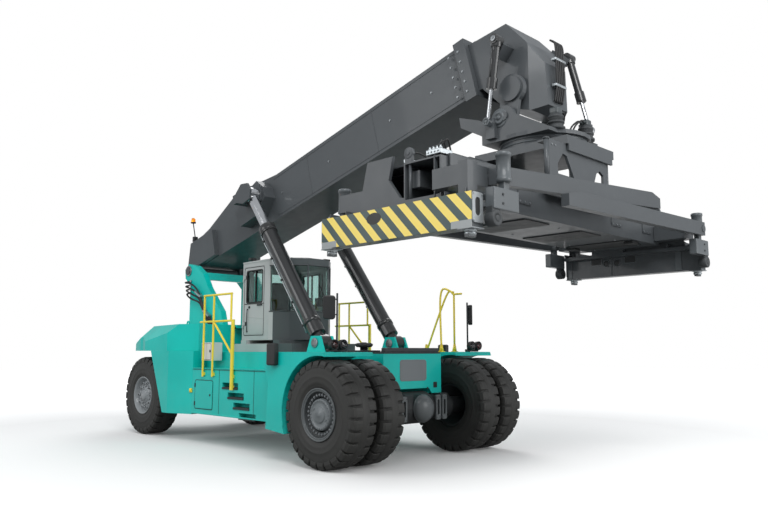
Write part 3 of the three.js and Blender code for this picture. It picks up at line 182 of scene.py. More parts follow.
def end_stripes(tree, spot, tone):
    """Slanting hazard stripes, bare castings and the oval opening on the end faces of the spreader, the opening drawn
    as a near-black ellipse of painted shade.
    """
    part = add(tree, "ShaderNodeSeparateXYZ", {"Vector": spot}).outputs
    reach = add(tree, "ShaderNodeMath", {0: part["X"]}, operation="ABSOLUTE").outputs[0]
    on_face = add(tree, "ShaderNodeMath", {0: reach, 1: CAD_BOX[1][0] - 0.004}, operation="GREATER_THAN").outputs[0]
    end = add(tree, "ShaderNodeMath", {0: part["X"]}, operation="SIGN").outputs[0]
    off = add(tree, "ShaderNodeMath", {0: part["Y"], 1: HOME.y + SLEW_Y}, operation="SUBTRACT").outputs[0]
    along = add(tree, "ShaderNodeMath", {0: off, 1: end}, operation="MULTIPLY").outputs[0]
    slant = add(tree, "ShaderNodeMath", {0: part["Z"], 1: STRIPE_SLOPE, 2: along}, operation="MULTIPLY_ADD").outputs[0]
    turns = add(tree, "ShaderNodeMath", {0: slant, 1: 1 / STRIPE_PAIR}, operation="MULTIPLY").outputs[0]
    part_turn = add(tree, "ShaderNodeMath", {0: turns}, operation="FRACT").outputs[0]
    band = add(tree, "ShaderNodeMath", {0: part_turn, 1: 0.5}, operation="LESS_THAN").outputs[0]
    pair = add(tree, "ShaderNodeMix", {"Factor": band, 6: paint_colour("#3d4f4f"), 7: paint_colour("#f7dd6c")},
               data_type="RGBA").outputs[2]
    from_middle = add(tree, "ShaderNodeMath", {0: off}, operation="ABSOLUTE").outputs[0]
    corner = add(tree, "ShaderNodeMath", {0: from_middle, 1: BARE_FROM}, operation="GREATER_THAN").outputs[0]
    low = add(tree, "ShaderNodeMath", {0: part["Z"], 1: BARE_BELOW}, operation="LESS_THAN").outputs[0]
    bare = add(tree, "ShaderNodeMath", {0: corner, 1: low}, operation="MULTIPLY").outputs[0]
    face = add(tree, "ShaderNodeMix", {"Factor": bare, 6: pair, 7: paint_colour("#9a9fa0")},
               data_type="RGBA").outputs[2]
    drawn = add(tree, "ShaderNodeMix", {"Factor": on_face, 6: tone, 7: face}, data_type="RGBA").outputs[2]
    spread = add(tree, "ShaderNodeCombineXYZ", {"X": on_face, "Y": along, "Z": part["Z"]}).outputs[0]
    # The oval opening is a near-black ellipse of painted shade where the end face has a hole.
    away = add(tree, "ShaderNodeVectorMath", {0: spread, 1: (1, -0.26, 3.358)}, operation="SUBTRACT").outputs[0]
    sized = add(tree, "ShaderNodeVectorMath", {0: away, 1: (100, 8, 14)}, operation="MULTIPLY").outputs[0]
    far = add(tree, "ShaderNodeVectorMath", {0: sized}, operation="LENGTH").outputs["Value"]
    hole = add(tree, "ShaderNodeMath", {0: far, 1: 1.0}, operation="LESS_THAN").outputs[0]
    return add(tree, "ShaderNodeMix", {"Factor": hole, 6: drawn, 7: shade("#030303", 1)}, data_type="RGBA").outputs[2]


def nose_shade(tree, spot, tone):
    """The nose of the cab, ahead of the door posts, is darkened with painted shade."""
    part = add(tree, "ShaderNodeSeparateXYZ", {"Vector": spot}).outputs
    reach = add(tree, "ShaderNodeMath", {0: part["X"]}, operation="ABSOLUTE").outputs[0]
    line = add(tree, "ShaderNodeMath", {0: reach, 1: 0.12, 2: part["Y"]}, operation="MULTIPLY_ADD").outputs[0]
    ahead = add(tree, "ShaderNodeMath", {0: line, 1: HOME.y + 3.12}, operation="LESS_THAN").outputs[0]
    dark = paint_colour("#474e50")
    return add(tree, "ShaderNodeMix", {"Factor": ahead, 6: tone, 7: dark}, data_type="RGBA").outputs[2]


def tinted_glass(name, code, roughness=0.02):
    """Toughened glass, clear with a green edge tint."""
    made, tree, shader, spot = new_material(name, Transmission_Weight=1.0, IOR=1.45)
    haze = add(tree, "ShaderNodeTexNoise", {"Vector": spot, "Scale": 3.0, "Detail": 3.0}).outputs["Fac"]
    tint = ramp(tree, haze, [(0.35, shade(code, 0.96)), (0.65, shade(code, 1.02))])
    tree.links.new(tint, shader.inputs["Base Color"])
    film = add(tree, "ShaderNodeMapRange", {"Value": haze, "To Min": roughness, "To Max": roughness + 0.03})
    tree.links.new(film.outputs["Result"], shader.inputs["Roughness"])
    return made


def seat_cloth(name, code):
    """Woven seat cloth: threads 2 mm apart, drawn at 5 mm so that they show, with a soft sheen."""
    made, tree, shader, spot = new_material(name, Sheen_Weight=0.4, Sheen_Roughness=0.5)
    warp = add(tree, "ShaderNodeTexWave", {"Vector": spot, "Scale": 60.0, "Distortion": 0.4}, bands_direction="X")
    weft = add(tree, "ShaderNodeTexWave", {"Vector": spot, "Scale": 60.0, "Distortion": 0.4}, bands_direction="Y")
    both = add(tree, "ShaderNodeMath", {0: warp.outputs["Fac"], 1: weft.outputs["Fac"]},
               operation="MULTIPLY").outputs[0]
    tree.links.new(ramp(tree, both, [(0.1, shade(code, 0.7)), (0.9, shade(code, 1.3))]), shader.inputs["Base Color"])
    matt = add(tree, "ShaderNodeMapRange", {"Value": both, "To Min": 0.95, "To Max": 0.8})
    tree.links.new(matt.outputs["Result"], shader.inputs["Roughness"])
    bump = add(tree, "ShaderNodeBump", {"Height": both, "Strength": 0.4, "Distance": 0.002})
    tree.links.new(bump.outputs["Normal"], shader.inputs["Normal"])
    return made


# Enamels. The bodywork is a bright even teal, and the greys are dull where they carry load.
TEAL = enamel("teal_enamel", "#00c3b8", 0.4, coat=0.12, dust=0.15)
BOOM = enamel("boom_enamel", "#4c5053", 0.42, coat=0.15)
BOOM_PALE = enamel("spreader_fitting_enamel", "#5b6063", 0.38, coat=0.15)
STRIPED = enamel("striped_enamel", "#4c5053", 0.42, coat=0.15, marks_and_shade=end_stripes)
DARK = enamel("dark_enamel", "#34383b", 0.45, coat=0.15)
# The cab enamel carries painted shade on the nose, ahead of the door posts.
CAB = enamel("cab_enamel_with_nose_shade", "#b3b7b6", 0.38, coat=0.3, marks_and_shade=nose_shade)
CAB_DARK = enamel("cab_dark_enamel", "#454b4d", 0.42, coat=0.3)
AXLE_PALE = enamel("axle_casting_enamel", "#5c6163", 0.4, coat=0.2)
CAB_WHITE = enamel("cabinet_enamel", "#d5d8d8", 0.4, coat=0.3)
AXLE = enamel("axle_enamel", "#2a2d2f", 0.5)
YELLOW = enamel("rail_enamel", "#f3dc45", 0.4, coat=0.3)
DECK = enamel("deck_enamel", "#33383a", 0.55)
RIM = enamel("rim_enamel", "#757b7e", 0.38, coat=0.2)
# The same dark enamel makes the discs of painted shade in the rear rims' hand holes.
RIM_DARK = enamel("wheel_well_enamel_and_hole_shade", "#363a3c", 0.5)
SILVER = enamel("rear_rim_enamel", "#8e9396", 0.35, coat=0.3)
# Two-pack black on the cylinder barrels: the glossiest paint on the truck.
CYLINDER = enamel("cylinder_enamel", "#2b2c2d", 0.3, coat=0.6)
# Hard chrome on ground rods: a mirror with hardly any grain.
CHROME = plain("hard_chrome", "#d6d8da", 0.14, metallic=1.0, depth=0.01, vary=0.02)
# Tyre compound: charcoal, dull and lightly pitted, with a tone that drifts.
RUBBER = plain("tyre_rubber", "#30302e", 0.62, grain=90.0, depth=0.25, vary=0.14)
# Moulded ABS: near black, half matt, with a fine even grain. The same finish makes the dark plates of painted shade in
# the spreader's openings.
PLASTIC_AND_OPENING_SHADE = plain("moulded_plastic_and_opening_shade", "#1d1f20", 0.5, vary=0.06)
# Zinc plate: grey, bright on its edges and soft in its reflections.
STEEL_BOLT = plain("zinc_plated_bolt", "#8b8f92", 0.38, metallic=0.85, depth=0.03)
# Glass and lens plastic: clear to look through, with a tint and a faint film.
GLASS = tinted_glass("cab_glass", "#c4dcd8")
LENS = tinted_glass("lamp_lens", "#e9eef0", 0.12)
AMBER = tinted_glass("amber_lens", "#ff9a20", 0.2)
RED = tinted_glass("red_lens", "#f02a30", 0.2)
# Seat cloth: dark and dull, with the weave just to be seen.
CLOTH = seat_cloth("seat_cloth", "#2a2d30")
# Extruded rubber: black and quite matt. The same finish makes the black plates of painted shade in the front plate's
# holes.
SEAL_AND_HOLE_SHADE = plain("rubber_seal_and_hole_shade", "#141515", 0.65, grain=200.0, depth=0.1)
# Silvered glass: reflects sharply.
MIRROR = plain("silvered_glass", "#c9d2d4", 0.05, metallic=1.0, depth=0.0, vary=0.02)
# Turned steel: pale, with a fine sparkle.
STEEL = plain("machined_steel", "#aab0b3", 0.34, metallic=0.8, grain=140.0, depth=0.05)
# Galvanised castings: pale grey, rough to the touch.
CASTING = plain("galvanised_casting", "#989da0", 0.5, metallic=0.35, grain=70.0, depth=0.22)
# Hydraulic hose: black rubber with a wrapped, slightly uneven skin.
HOSE = plain("rubber_hose", "#191a1b", 0.55, grain=240.0, depth=0.15)
# Cast iron under thin paint: dark and grainy.
IRON = plain("cast_iron", "#3d4042", 0.62, metallic=0.2, grain=60.0, depth=0.3)

# The first start that a solid's name matches gives its finish.
FINISHES = [
    ("tyre_", RUBBER), ("rim_front", RIM), ("rim_rear", SILVER), ("front_axle", AXLE), ("rear_axle", AXLE),
    ("steering_k", AXLE), ("lift_barrel", CYLINDER), ("tilt_barrel", CYLINDER), ("lift_rod", CHROME),
    ("tilt_rod", CHROME), ("boom_tower", TEAL), ("boom_", BOOM), ("rotator", BOOM), ("slew_motor", IRON),
    ("slew_carriage", BOOM), ("spreader_arm", STRIPED), ("spreader", BOOM), ("bottom_leg", BOOM),
    ("cab_windscreen", GLASS), ("cab_base", CAB), ("cab_", CAB), ("operator", PLASTIC_AND_OPENING_SHADE),
    ("steering_col", PLASTIC_AND_OPENING_SHADE), ("front_deck", DECK), ("handrail", YELLOW), ("engine_block", IRON), ("", TEAL),
]
for name, solid in NODES.items():
    finish = next(m for start, m in FINISHES if name.startswith(start))
    solid.data.materials.clear()
    solid.data.materials.append(finish)

# ---------------------------------------------------------------- shaping

def round_steps(count, phase=0.0):
    """Equal angles round a circle, starting phase of a step in."""
    return [2 * math.pi * (i + phase) / count for i in range(count)]


def span_x(side, near, far):
    """The two ends of a stretch across the truck, on one side."""
    return sorted((side * near, side * far))


def block(bm, low, high, round_by=0.004, turn=None):
    """A box with its edges rounded. Corners are given from the truck's own origin."""
    low, high = Vector(low), Vector(high)
    verts = bmesh.ops.create_cube(bm, size=1)["verts"]
    size = high - low
    bmesh.ops.transform(bm, verts=verts, matrix=Matrix.Diagonal((*size, 1)))
    if turn:
        bmesh.ops.rotate(bm, verts=verts, cent=(0, 0, 0), matrix=turn)
    bmesh.ops.translate(bm, verts=verts, vec=(low + high) / 2)
    soften(bm, verts, min(round_by, min(size) * 0.4))


def side_block(bm, side, reach, along, up, round_by=0.004):
    """A rounded box on one side of the truck, from its reach out of the middle, and its spans along and up."""
    near, far = span_x(side, *reach)
    block(bm, (near, along[0], up[0]), (far, along[1], up[1]), round_by)


def soften(bm, verts, amount, limit=0.5):
    """Rounds the sharp edges between these vertices."""
    if amount <= 0:
        return
    chosen = set(verts)
    edges = [e for e in {e for v in verts for e in v.link_edges}
             if set(e.verts) <= chosen and len(e.link_faces) == 2
             and e.calc_face_angle(0) > limit]
    bmesh.ops.bevel(bm, geom=edges, offset=amount, segments=2, profile=0.6, affect="EDGES",
                    clamp_overlap=True)


def plate(bm, outline, across, span, round_by=0.003):
    """A flat outline carried along one axis: across is x, y or z, and the outline is on the other two."""
    pick = {"x": (1, 2, 0), "y": (0, 2, 1), "z": (0, 1, 2)}[across]
    ends = []
    for depth in span:
        ring = []
        for a, b in outline:
            spot = [0, 0, 0]
            spot[pick[0]], spot[pick[1]], spot[pick[2]] = a, b, depth
            ring.append(bm.verts.new(spot))
        ends.append(ring)
    count = len(outline)
    faces = [bm.faces.new(ends[0]), bm.faces.new(reversed(ends[1]))]
    for i in range(count):
        j = (i + 1) % count
        faces.append(bm.faces.new((ends[0][j], ends[0][i], ends[1][i], ends[1][j])))
    bmesh.ops.recalc_face_normals(bm, faces=faces)
    soften(bm, ends[0] + ends[1], round_by)


def axis_frame(direction):
    """Two directions square to this one."""
    along = Vector(direction).normalized()
    guess = Vector((0, 0, 1)) if abs(along.z) < 0.9 else Vector((1, 0, 0))
    right = along.cross(guess).normalized()
    return along, right, right.cross(along)


def turned(bm, profile, centre, direction, sides=48):
    """A turned shape from (distance along, radius) points. A profile that starts and ends on the
    axis is solid; any other is a ring."""
    along, right, up = axis_frame(direction)
    centre = Vector(centre)
    rings = []
    for distance, radius in profile:
        middle = centre + along * distance
        if radius < 1e-6:
            rings.append([bm.verts.new(middle)] * sides)
        else:
            rings.append([bm.verts.new(middle + (right * math.cos(a) + up * math.sin(a)) * radius)
                          for a in round_steps(sides)])
    closed = profile[0][1] > 1e-6
    faces = []
    for k in range(len(rings) if closed else len(rings) - 1):
        a, b = rings[k], rings[(k + 1) % len(rings)]
        for i in range(sides):
            j = (i + 1) % sides
            corners = []
            for v in (a[i], a[j], b[j], b[i]):
                if v not in corners:
                    corners.append(v)
            if len(corners) > 2:
                faces.append(bm.faces.new(corners))
    bmesh.ops.recalc_face_normals(bm, faces=faces)
    for face in faces:
        face.smooth = True


def disc(bm, centre, direction, radius, thick, sides=32, round_by=0.004):
    """A short round bar with rounded rims, starting at centre."""
    r = min(round_by, radius * 0.4, thick * 0.45)
    turned(bm, [(0, 0), (0, radius - r), (r * 0.3, radius - r * 0.3), (r, radius), (thick - r, radius),
                (thick - r * 0.3, radius - r * 0.3), (thick, radius - r), (thick, 0)],
           centre, direction, sides)


def tube(bm, points, radius, sides=12, smooth=True, steps=8):
    """A round bar or hose along a smooth line through the points."""
    spots = [Vector(p) for p in points]
    if smooth and len(spots) > 2:
        full = [spots[0] * 2 - spots[1], *spots, spots[-1] * 2 - spots[-2]]
        line = []
        for i in range(1, len(full) - 2):
            a, b, c, d = full[i - 1:i + 3]
            for k in range(steps):
                t = k / steps
                line.append(0.5 * (2 * b + (c - a) * t + (2 * a - 5 * b + 4 * c - d) * t * t
                                   + (3 * b - a - 3 * c + d) * t * t * t))
        line.append(spots[-1])
    else:
        line = spots
    heading = (line[1] - line[0]).normalized()
    _, right, _ = axis_frame(heading)
    rings = []
    for i, spot in enumerate(line):
        ahead = (line[min(i + 1, len(line) - 1)] - line[max(i - 1, 0)]).normalized()
        right = (right - ahead * right.dot(ahead)).normalized()
        up = ahead.cross(right)
        rings.append([bm.verts.new(spot + (right * math.cos(a) + up * math.sin(a)) * radius)
                      for a in round_steps(sides)])
    faces = [bm.faces.new(rings[0]), bm.faces.new(reversed(rings[-1]))]
    for a, b in zip(rings, rings[1:]):
        for i in range(sides):
            j = (i + 1) % sides
            faces.append(bm.faces.new((a[j], a[i], b[i], b[j])))
            faces[-1].smooth = True
    bmesh.ops.recalc_face_normals(bm, faces=faces)


def piece(name, bm, finish, body, stands_for=()):
    """Makes the shape an object at the origin, on its body."""
    bmesh.ops.translate(bm, verts=bm.verts, vec=HOME)
    mesh = bpy.data.meshes.new(name)
    bm.to_mesh(mesh)
    bm.free()
    made = bpy.data.objects.new(name, mesh)
    bpy.context.collection.objects.link(made)
    mesh.materials.append(finish)
    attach(made, body)
    if stands_for:
        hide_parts(*stands_for)
    return made


def ring_tree():
    """Copies of an item turned about the origin: Count of them, by equal steps round Axis from Phase."""
    tree = bpy.data.node_groups.new("copies_round", "GeometryNodeTree")
    face = tree.interface
    names = {}
    for label, kind in [("Item", "NodeSocketObject"), ("Count", "NodeSocketInt"), ("Axis", "NodeSocketVector"),
                        ("Phase", "NodeSocketFloat"), ("Finish", "NodeSocketMaterial")]:
        names[label] = face.new_socket(label, in_out="INPUT", socket_type=kind).identifier
    face.new_socket("Geometry", in_out="OUTPUT", socket_type="NodeSocketGeometry")
    given = add(tree, "NodeGroupInput").outputs
    spots = add(tree, "GeometryNodePoints", {"Count": given["Count"]}).outputs[0]
    index = add(tree, "GeometryNodeInputIndex").outputs[0]
    full = add(tree, "ShaderNodeMath", {0: 2 * math.pi, 1: given["Count"]}, operation="DIVIDE").outputs[0]
    angle = add(tree, "ShaderNodeMath", {0: index, 1: full, 2: given["Phase"]}, operation="MULTIPLY_ADD").outputs[0]
    turn = add(tree, "ShaderNodeVectorMath", {0: given["Axis"], "Scale": angle}, operation="SCALE").outputs[0]
    item = add(tree, "GeometryNodeObjectInfo", {"Object": given["Item"]}).outputs["Geometry"]
    copies = add(tree, "GeometryNodeInstanceOnPoints", {"Points": spots, "Instance": item, "Rotation": turn})
    solid = add(tree, "GeometryNodeRealizeInstances", {"Geometry": copies.outputs[0]}).outputs[0]
    painted = add(tree, "GeometryNodeSetMaterial", {"Geometry": solid, "Material": given["Finish"]}).outputs[0]
    add(tree, "NodeGroupOutput", {"Geometry": painted})
    return tree, names


def spots_tree():
    """Copies of an item stood on each point of a mesh, with the item's Z along the point's facing."""
    tree = bpy.data.node_groups.new("copies_on_spots", "GeometryNodeTree")
    face = tree.interface
    names = {}
    for label, kind in [("Spots", "NodeSocketGeometry"), ("Item", "NodeSocketObject"),
                        ("Size", "NodeSocketFloat"), ("Finish", "NodeSocketMaterial")]:
        names[label] = face.new_socket(label, in_out="INPUT", socket_type=kind).identifier
    face.new_socket("Geometry", in_out="OUTPUT", socket_type="NodeSocketGeometry")
    given = add(tree, "NodeGroupInput").outputs
    facing = add(tree, "GeometryNodeInputNamedAttribute", {"Name": "facing"}, data_type="FLOAT_VECTOR")
    turn = add(tree, "FunctionNodeAlignRotationToVector", {"Vector": facing.outputs[0]}, axis="Z").outputs[0]
    item = add(tree, "GeometryNodeObjectInfo", {"Object": given["Item"]}).outputs["Geometry"]
    copies = add(tree, "GeometryNodeInstanceOnPoints", {
        "Points": given["Spots"], "Instance": item, "Rotation": turn, "Scale": given["Size"]})
    solid = add(tree, "GeometryNodeRealizeInstances", {"Geometry": copies.outputs[0]}).outputs[0]
    painted = add(tree, "GeometryNodeSetMaterial", {"Geometry": solid, "Material": given["Finish"]}).outputs[0]
    add(tree, "NodeGroupOutput", {"Geometry": painted})
    return tree, names


RING_TREE, RING_INPUTS = ring_tree()
SPOTS_TREE, SPOTS_INPUTS = spots_tree()


def grown(carrier, tree, inputs, **values):
    """The mesh that a tree makes on a carrier object, which is then removed."""
    modifier = carrier.modifiers.new("copies", "NODES")
    modifier.node_group = tree
    for key, value in values.items():
        modifier[inputs[key]] = value
    bpy.context.view_layer.update()
    graph = bpy.context.evaluated_depsgraph_get()
    mesh = bpy.data.meshes.new_from_object(carrier.evaluated_get(graph))
    bpy.data.objects.remove(carrier)
    return mesh


def loose_item(name, bm):
    """An item for a tree to copy. It is not a piece of the object itself."""
    mesh = bpy.data.meshes.new(name)
    bm.to_mesh(mesh)
    bm.free()
    made = bpy.data.objects.new(name, mesh)
    bpy.context.collection.objects.link(made)
    return made


def copies_round(bm, item, count, centre, axis=(1, 0, 0), phase=0.0, finish=None):
    """Adds copies of an item to a shape, turned about an axis through centre."""
    carrier = bpy.data.objects.new("carrier", bpy.data.meshes.new("carrier"))
    bpy.context.collection.objects.link(carrier)
    mesh = grown(carrier, RING_TREE, RING_INPUTS, Item=item, Count=count, Axis=axis, Phase=phase, Finish=finish)
    mesh.transform(Matrix.Translation(centre))
    bm.from_mesh(mesh)
    bpy.data.meshes.remove(mesh)


def studs(bm, spots, size, finish=STEEL_BOLT, item="hex"):
    """Adds a bolt head to a shape at each (point, facing)."""
    mesh = bpy.data.meshes.new("spots")
    mesh.from_pydata([p for p, _ in spots], [], [])
    facing = mesh.attributes.new("facing", "FLOAT_VECTOR", "POINT")
    facing.data.foreach_set("vector", [c for _, f in spots for c in f])
    carrier = bpy.data.objects.new("carrier", mesh)
    bpy.context.collection.objects.link(carrier)
    made = grown(carrier, SPOTS_TREE, SPOTS_INPUTS, Item=ITEMS[item], Size=size, Finish=finish)
    bm.from_mesh(made)
    bpy.data.meshes.remove(made)


def bolt_circle(bm, centre, facing, radius, size, angles):
    """Bolt heads on a circle round centre. They look along facing, which is one of the three axes."""
    across, up = [axis for axis in range(3) if not facing[axis]]
    spots = []
    for a in angles:
        spot = list(centre)
        spot[across] += math.cos(a) * radius
        spot[up] += math.sin(a) * radius
        spots.append((spot, facing))
    studs(bm, spots, size)


def hex_head():
    """A hexagon head one unit across its corners, on a washer, standing on Z."""
    bm = bmesh.new()
    turned(bm, [(0, 0), (0, 0.62), (0.1, 0.62), (0.1, 0)], (0, 0, 0), (0, 0, 1), 16)
    turned(bm, [(0.1, 0), (0.1, 0.5), (0.38, 0.5), (0.44, 0.43), (0.44, 0)], (0, 0, 0), (0, 0, 1), 6)
    for face in bm.faces:
        face.smooth = False
    return loose_item("hex_item", bm)


ITEMS = {"hex": hex_head()}

# ---------------------------------------------------------------- wheels

def block_item(name, reach):
    """One tread block: it spans an angle round the tyre and runs from the centre band over the shoulder."""
    bm = bmesh.new()
    outline = [(0.06, TYRE_R - 0.001), (0.185, TYRE_R - 0.003), (0.226, TYRE_R - 0.022),
               (0.2485, TYRE_R - 0.075), (0.2465, TYRE_R - 0.13), (0.215, TYRE_R - 0.115), (0.06, TYRE_R - 0.045)]
    rows = []
    for k in range(4):
        angle = reach * (k / 3 - 0.5)
        pull = 0.012 if k in (0, 3) else 0
        rows.append([bm.verts.new((x, math.sin(angle) * (r - (pull if i < 4 else 0) * 0.3),
                                   math.cos(angle) * (r - (pull if i < 4 else 0) * 0.3)))
                     for i, (x, r) in enumerate(outline)])
    faces = [bm.faces.new(rows[0]), bm.faces.new(reversed(rows[-1]))]
    for a, b in zip(rows, rows[1:]):
        for i in range(len(outline)):
            j = (i + 1) % len(outline)
            faces.append(bm.faces.new((a[j], a[i], b[i], b[j])))
    bmesh.ops.recalc_face_normals(bm, faces=faces)
    ends = [e for e in bm.edges if len(e.link_faces) == 2 and e.calc_face_angle(0) > 1.1]
    bmesh.ops.bevel(bm, geom=ends, offset=0.01, segments=2, profile=0.5, affect="EDGES")
    return loose_item(name, bm)


BLOCKS = 28
PITCH = 2 * math.pi / BLOCKS
outward_block = block_item("tread_block", PITCH * 0.8)
inward_block = block_item("tread_block_mirrored", PITCH * 0.8)
inward_block.data.transform(Matrix.Diagonal((-1, 1, 1, 1)))
inward_block.data.flip_normals()
CASING = [
    (-0.218, 0.392), (-0.226, 0.42), (-0.236, 0.44), (-0.238, 0.452), (-0.243, 0.456), (-0.2465, 0.50),
    (-0.2475, 0.56), (-0.2495, 0.565), (-0.2495, 0.578), (-0.2475, 0.583), (-0.246, 0.64), (-0.243, 0.69),
    (-0.232, TYRE_R - 0.09), (-0.2, TYRE_R - 0.052), (-0.1, TYRE_R - 0.036), (-0.068, TYRE_R - 0.003),
    (-0.06, TYRE_R), (0.06, TYRE_R), (0.068, TYRE_R - 0.003), (0.1, TYRE_R - 0.036), (0.2, TYRE_R - 0.052),
    (0.232, TYRE_R - 0.09), (0.243, 0.69), (0.246, 0.64), (0.2475, 0.583), (0.2495, 0.578), (0.2495, 0.565),
    (0.2475, 0.56), (0.2465, 0.50), (0.243, 0.456), (0.238, 0.452), (0.236, 0.44), (0.226, 0.42), (0.218, 0.392),
]


def tyre(node, body, phase):
    """A bias-ply industrial tyre, 1.66 m across: ribbed wall, centre band, and blocks that alternate."""
    low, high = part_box(node)
    centre = (low + high) / 2 - HOME
    bm = bmesh.new()
    turned(bm, CASING, centre, (1, 0, 0), 104)
    copies_round(bm, outward_block, BLOCKS, centre, phase=phase, finish=RUBBER)
    copies_round(bm, inward_block, BLOCKS, centre, phase=phase + PITCH / 2, finish=RUBBER)
    piece(node + "_tread", bm, RUBBER, body, [node])
    return centre


def front_rim(name, side):
    """Flange ring, bolted wheel disc in a dark well, and the planetary hub that stands out of it."""
    low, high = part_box(f"rim_front_{name}")
    face = (low.x if side < 0 else high.x) - HOME.x + side * 0.02
    centre = Vector((face, (low.y + high.y) / 2 - HOME.y, TYRE_R))
    out = (side, 0, 0)
    body = f"wheel_front_{name}"
    bm = bmesh.new()
    turned(bm, [(-0.06, 0.345), (-0.05, 0.388), (-0.03, 0.4), (-0.012, 0.402), (-0.006, 0.394), (-0.008, 0.378),
                (-0.02, 0.372), (-0.028, 0.362), (-0.03, 0.352), (-0.045, 0.346)], centre, out, 96)
    turned(bm, [(-0.03, 0.366), (-0.024, 0.37), (-0.02, 0.364), (-0.026, 0.346), (-0.04, 0.346)], centre, out, 96)
    piece(f"rim_flange_front_{name}", bm, AXLE_PALE, body)
    bm = bmesh.new()
    turned(bm, [(-1.03, 0.39), (-1.03, 0.347), (-0.11, 0.347), (-0.1, 0.26), (-0.08, 0.26), (-0.075, 0.33),
                (-0.07, 0.345), (-0.05, 0.347), (-0.05, 0.386)], centre, out, 80)
    piece(f"rim_well_front_{name}", bm, RIM_DARK, body, [f"rim_front_{name}"])
    bm = bmesh.new()
    bolt_circle(bm, centre + Vector((side * -0.076, 0, 0)), out, 0.298, 0.034, round_steps(28, 0.5))
    piece(f"wheel_nuts_front_{name}", bm, STEEL_BOLT, body)
    bm = bmesh.new()
    turned(bm, [(-0.2, 0), (-0.2, 0.262), (-0.15, 0.262), (-0.13, 0.25), (-0.065, 0.238), (-0.05, 0.232),
                (-0.044, 0.222), (-0.044, 0.2), (-0.05, 0.194), (-0.05, 0.13), (-0.045, 0.124), (-0.034, 0.12),
                (-0.03, 0.112), (-0.03, 0.03), (-0.024, 0.026), (-0.022, 0.02), (-0.022, 0)], centre, out, 80)
    bolt_circle(bm, centre + Vector((side * -0.044, 0, 0)), out, 0.211, 0.02, round_steps(24))
    bolt_circle(bm, centre + Vector((side * -0.05, 0, 0)), out, 0.16, 0.03, (0.5, 3.64))
    piece(f"hub_front_{name}", bm, RIM, body)


def rear_rim(name, side):
    """A dished disc with ten hand holes, each with a dark disc of painted shade in it, and studs round a stepped hub.
    """
    low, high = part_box(f"rim_rear_{name}")
    tyre_low, tyre_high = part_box(f"tyre_rear_{name}")
    face = (tyre_low.x if side < 0 else tyre_high.x) - HOME.x
    centre = Vector((face, (low.y + high.y) / 2 - HOME.y, TYRE_R))
    out = (side, 0, 0)
    body = f"wheel_rear_{name}"
    bm = bmesh.new()
    turned(bm, [(-0.45, 0.386), (-0.45, 0.347), (-0.19, 0.347), (-0.17, 0.34), (-0.16, 0.325), (-0.11, 0.26),
                (-0.1, 0.25), (-0.12, 0.24), (-0.2, 0.23), (-0.2, 0.22), (-0.085, 0.235), (-0.08, 0.262),
                (-0.14, 0.335), (-0.14, 0.346), (-0.05, 0.352), (-0.03, 0.372), (-0.02, 0.378), (-0.012, 0.392),
                (-0.02, 0.401), (-0.04, 0.4), (-0.055, 0.388)], centre, out, 96)
    hand_holes = [Vector((0, math.cos(a), math.sin(a))) * 0.262 for a in round_steps(10)]
    for hole in hand_holes:
        disc(bm, centre + Vector((side * -0.135, 0, 0)) + hole, out, 0.034, 0.075, 20, 0.008)
    piece(f"rim_disc_rear_{name}", bm, SILVER, body, [f"rim_rear_{name}"])
    bm = bmesh.new()
    turned(bm, [(-0.2, 0), (-0.2, 0.24), (-0.1, 0.236), (-0.09, 0.226), (-0.088, 0.17), (-0.07, 0.16),
                (-0.062, 0.15), (-0.06, 0.11), (-0.035, 0.1), (-0.03, 0.09), (-0.03, 0)], centre, out, 64)
    bolt_circle(bm, centre + Vector((side * -0.089, 0, 0)), out, 0.2, 0.052, round_steps(10, 0.5))
    bolt_circle(bm, centre + Vector((side * -0.06, 0, 0)), out, 0.13, 0.02, round_steps(12))
    piece(f"hub_rear_{name}", bm, SILVER, body)
    # Dark discs of painted shade inside the hand holes.
    bm = bmesh.new()
    for hole in hand_holes:
        disc(bm, centre + Vector((side * -0.059, 0, 0)) + hole, out, 0.02, 0.004, 20, 0.001)
    piece(f"hand_holes_rear_{name}", bm, RIM_DARK, body)


for name, side in SIDES:
    tyre(f"tyre_front_{name}_outer", f"wheel_front_{name}", 0.02)
    tyre(f"tyre_front_{name}_inner", f"wheel_front_{name}", 0.11)
    tyre(f"tyre_rear_{name}", f"wheel_rear_{name}", 0.07)
    front_rim(name, side)
    rear_rim(name, side)
bpy.data.objects.remove(outward_block)
bpy.data.objects.remove(inward_block)

# ---------------------------------------------------------------- outlines with a hole

def rounded(across, up, wide, tall, corner, steps=5):
    """A rectangle with round corners, as points round its centre."""
    corner = min(corner, wide / 2, tall / 2)
    spots = []
    for k, (sx, sy) in enumerate([(1, 1), (-1, 1), (-1, -1), (1, -1)]):
        for i in range(steps + 1):
            angle = math.pi / 2 * (k + i / steps)
            spots.append((across + sx * (wide / 2 - corner) + math.cos(angle) * corner,
                          up + sy * (tall / 2 - corner) + math.sin(angle) * corner))
    return spots


def ringed(bm, outer, inner, across, span, round_by=0.003):
    """A plate with a hole: two outlines of as many points each, carried along one axis."""
    pick = {"x": (1, 2, 0), "y": (0, 2, 1), "z": (0, 1, 2)}[across]
    loops = []
    for outline, depth in [(outer, span[0]), (outer, span[1]), (inner, span[1]), (inner, span[0])]:
        ring = []
        for a, b in outline:
            spot = [0, 0, 0]
            spot[pick[0]], spot[pick[1]], spot[pick[2]] = a, b, depth
            ring.append(bm.verts.new(spot))
        loops.append(ring)
    faces = []
    for a, b in zip(loops, loops[1:] + loops[:1]):
        for i in range(len(outer)):
            j = (i + 1) % len(outer)
            faces.append(bm.faces.new((a[i], a[j], b[j], b[i])))
    bmesh.ops.recalc_face_normals(bm, faces=faces)
    soften(bm, [v for ring in loops for v in ring], round_by, 0.9)


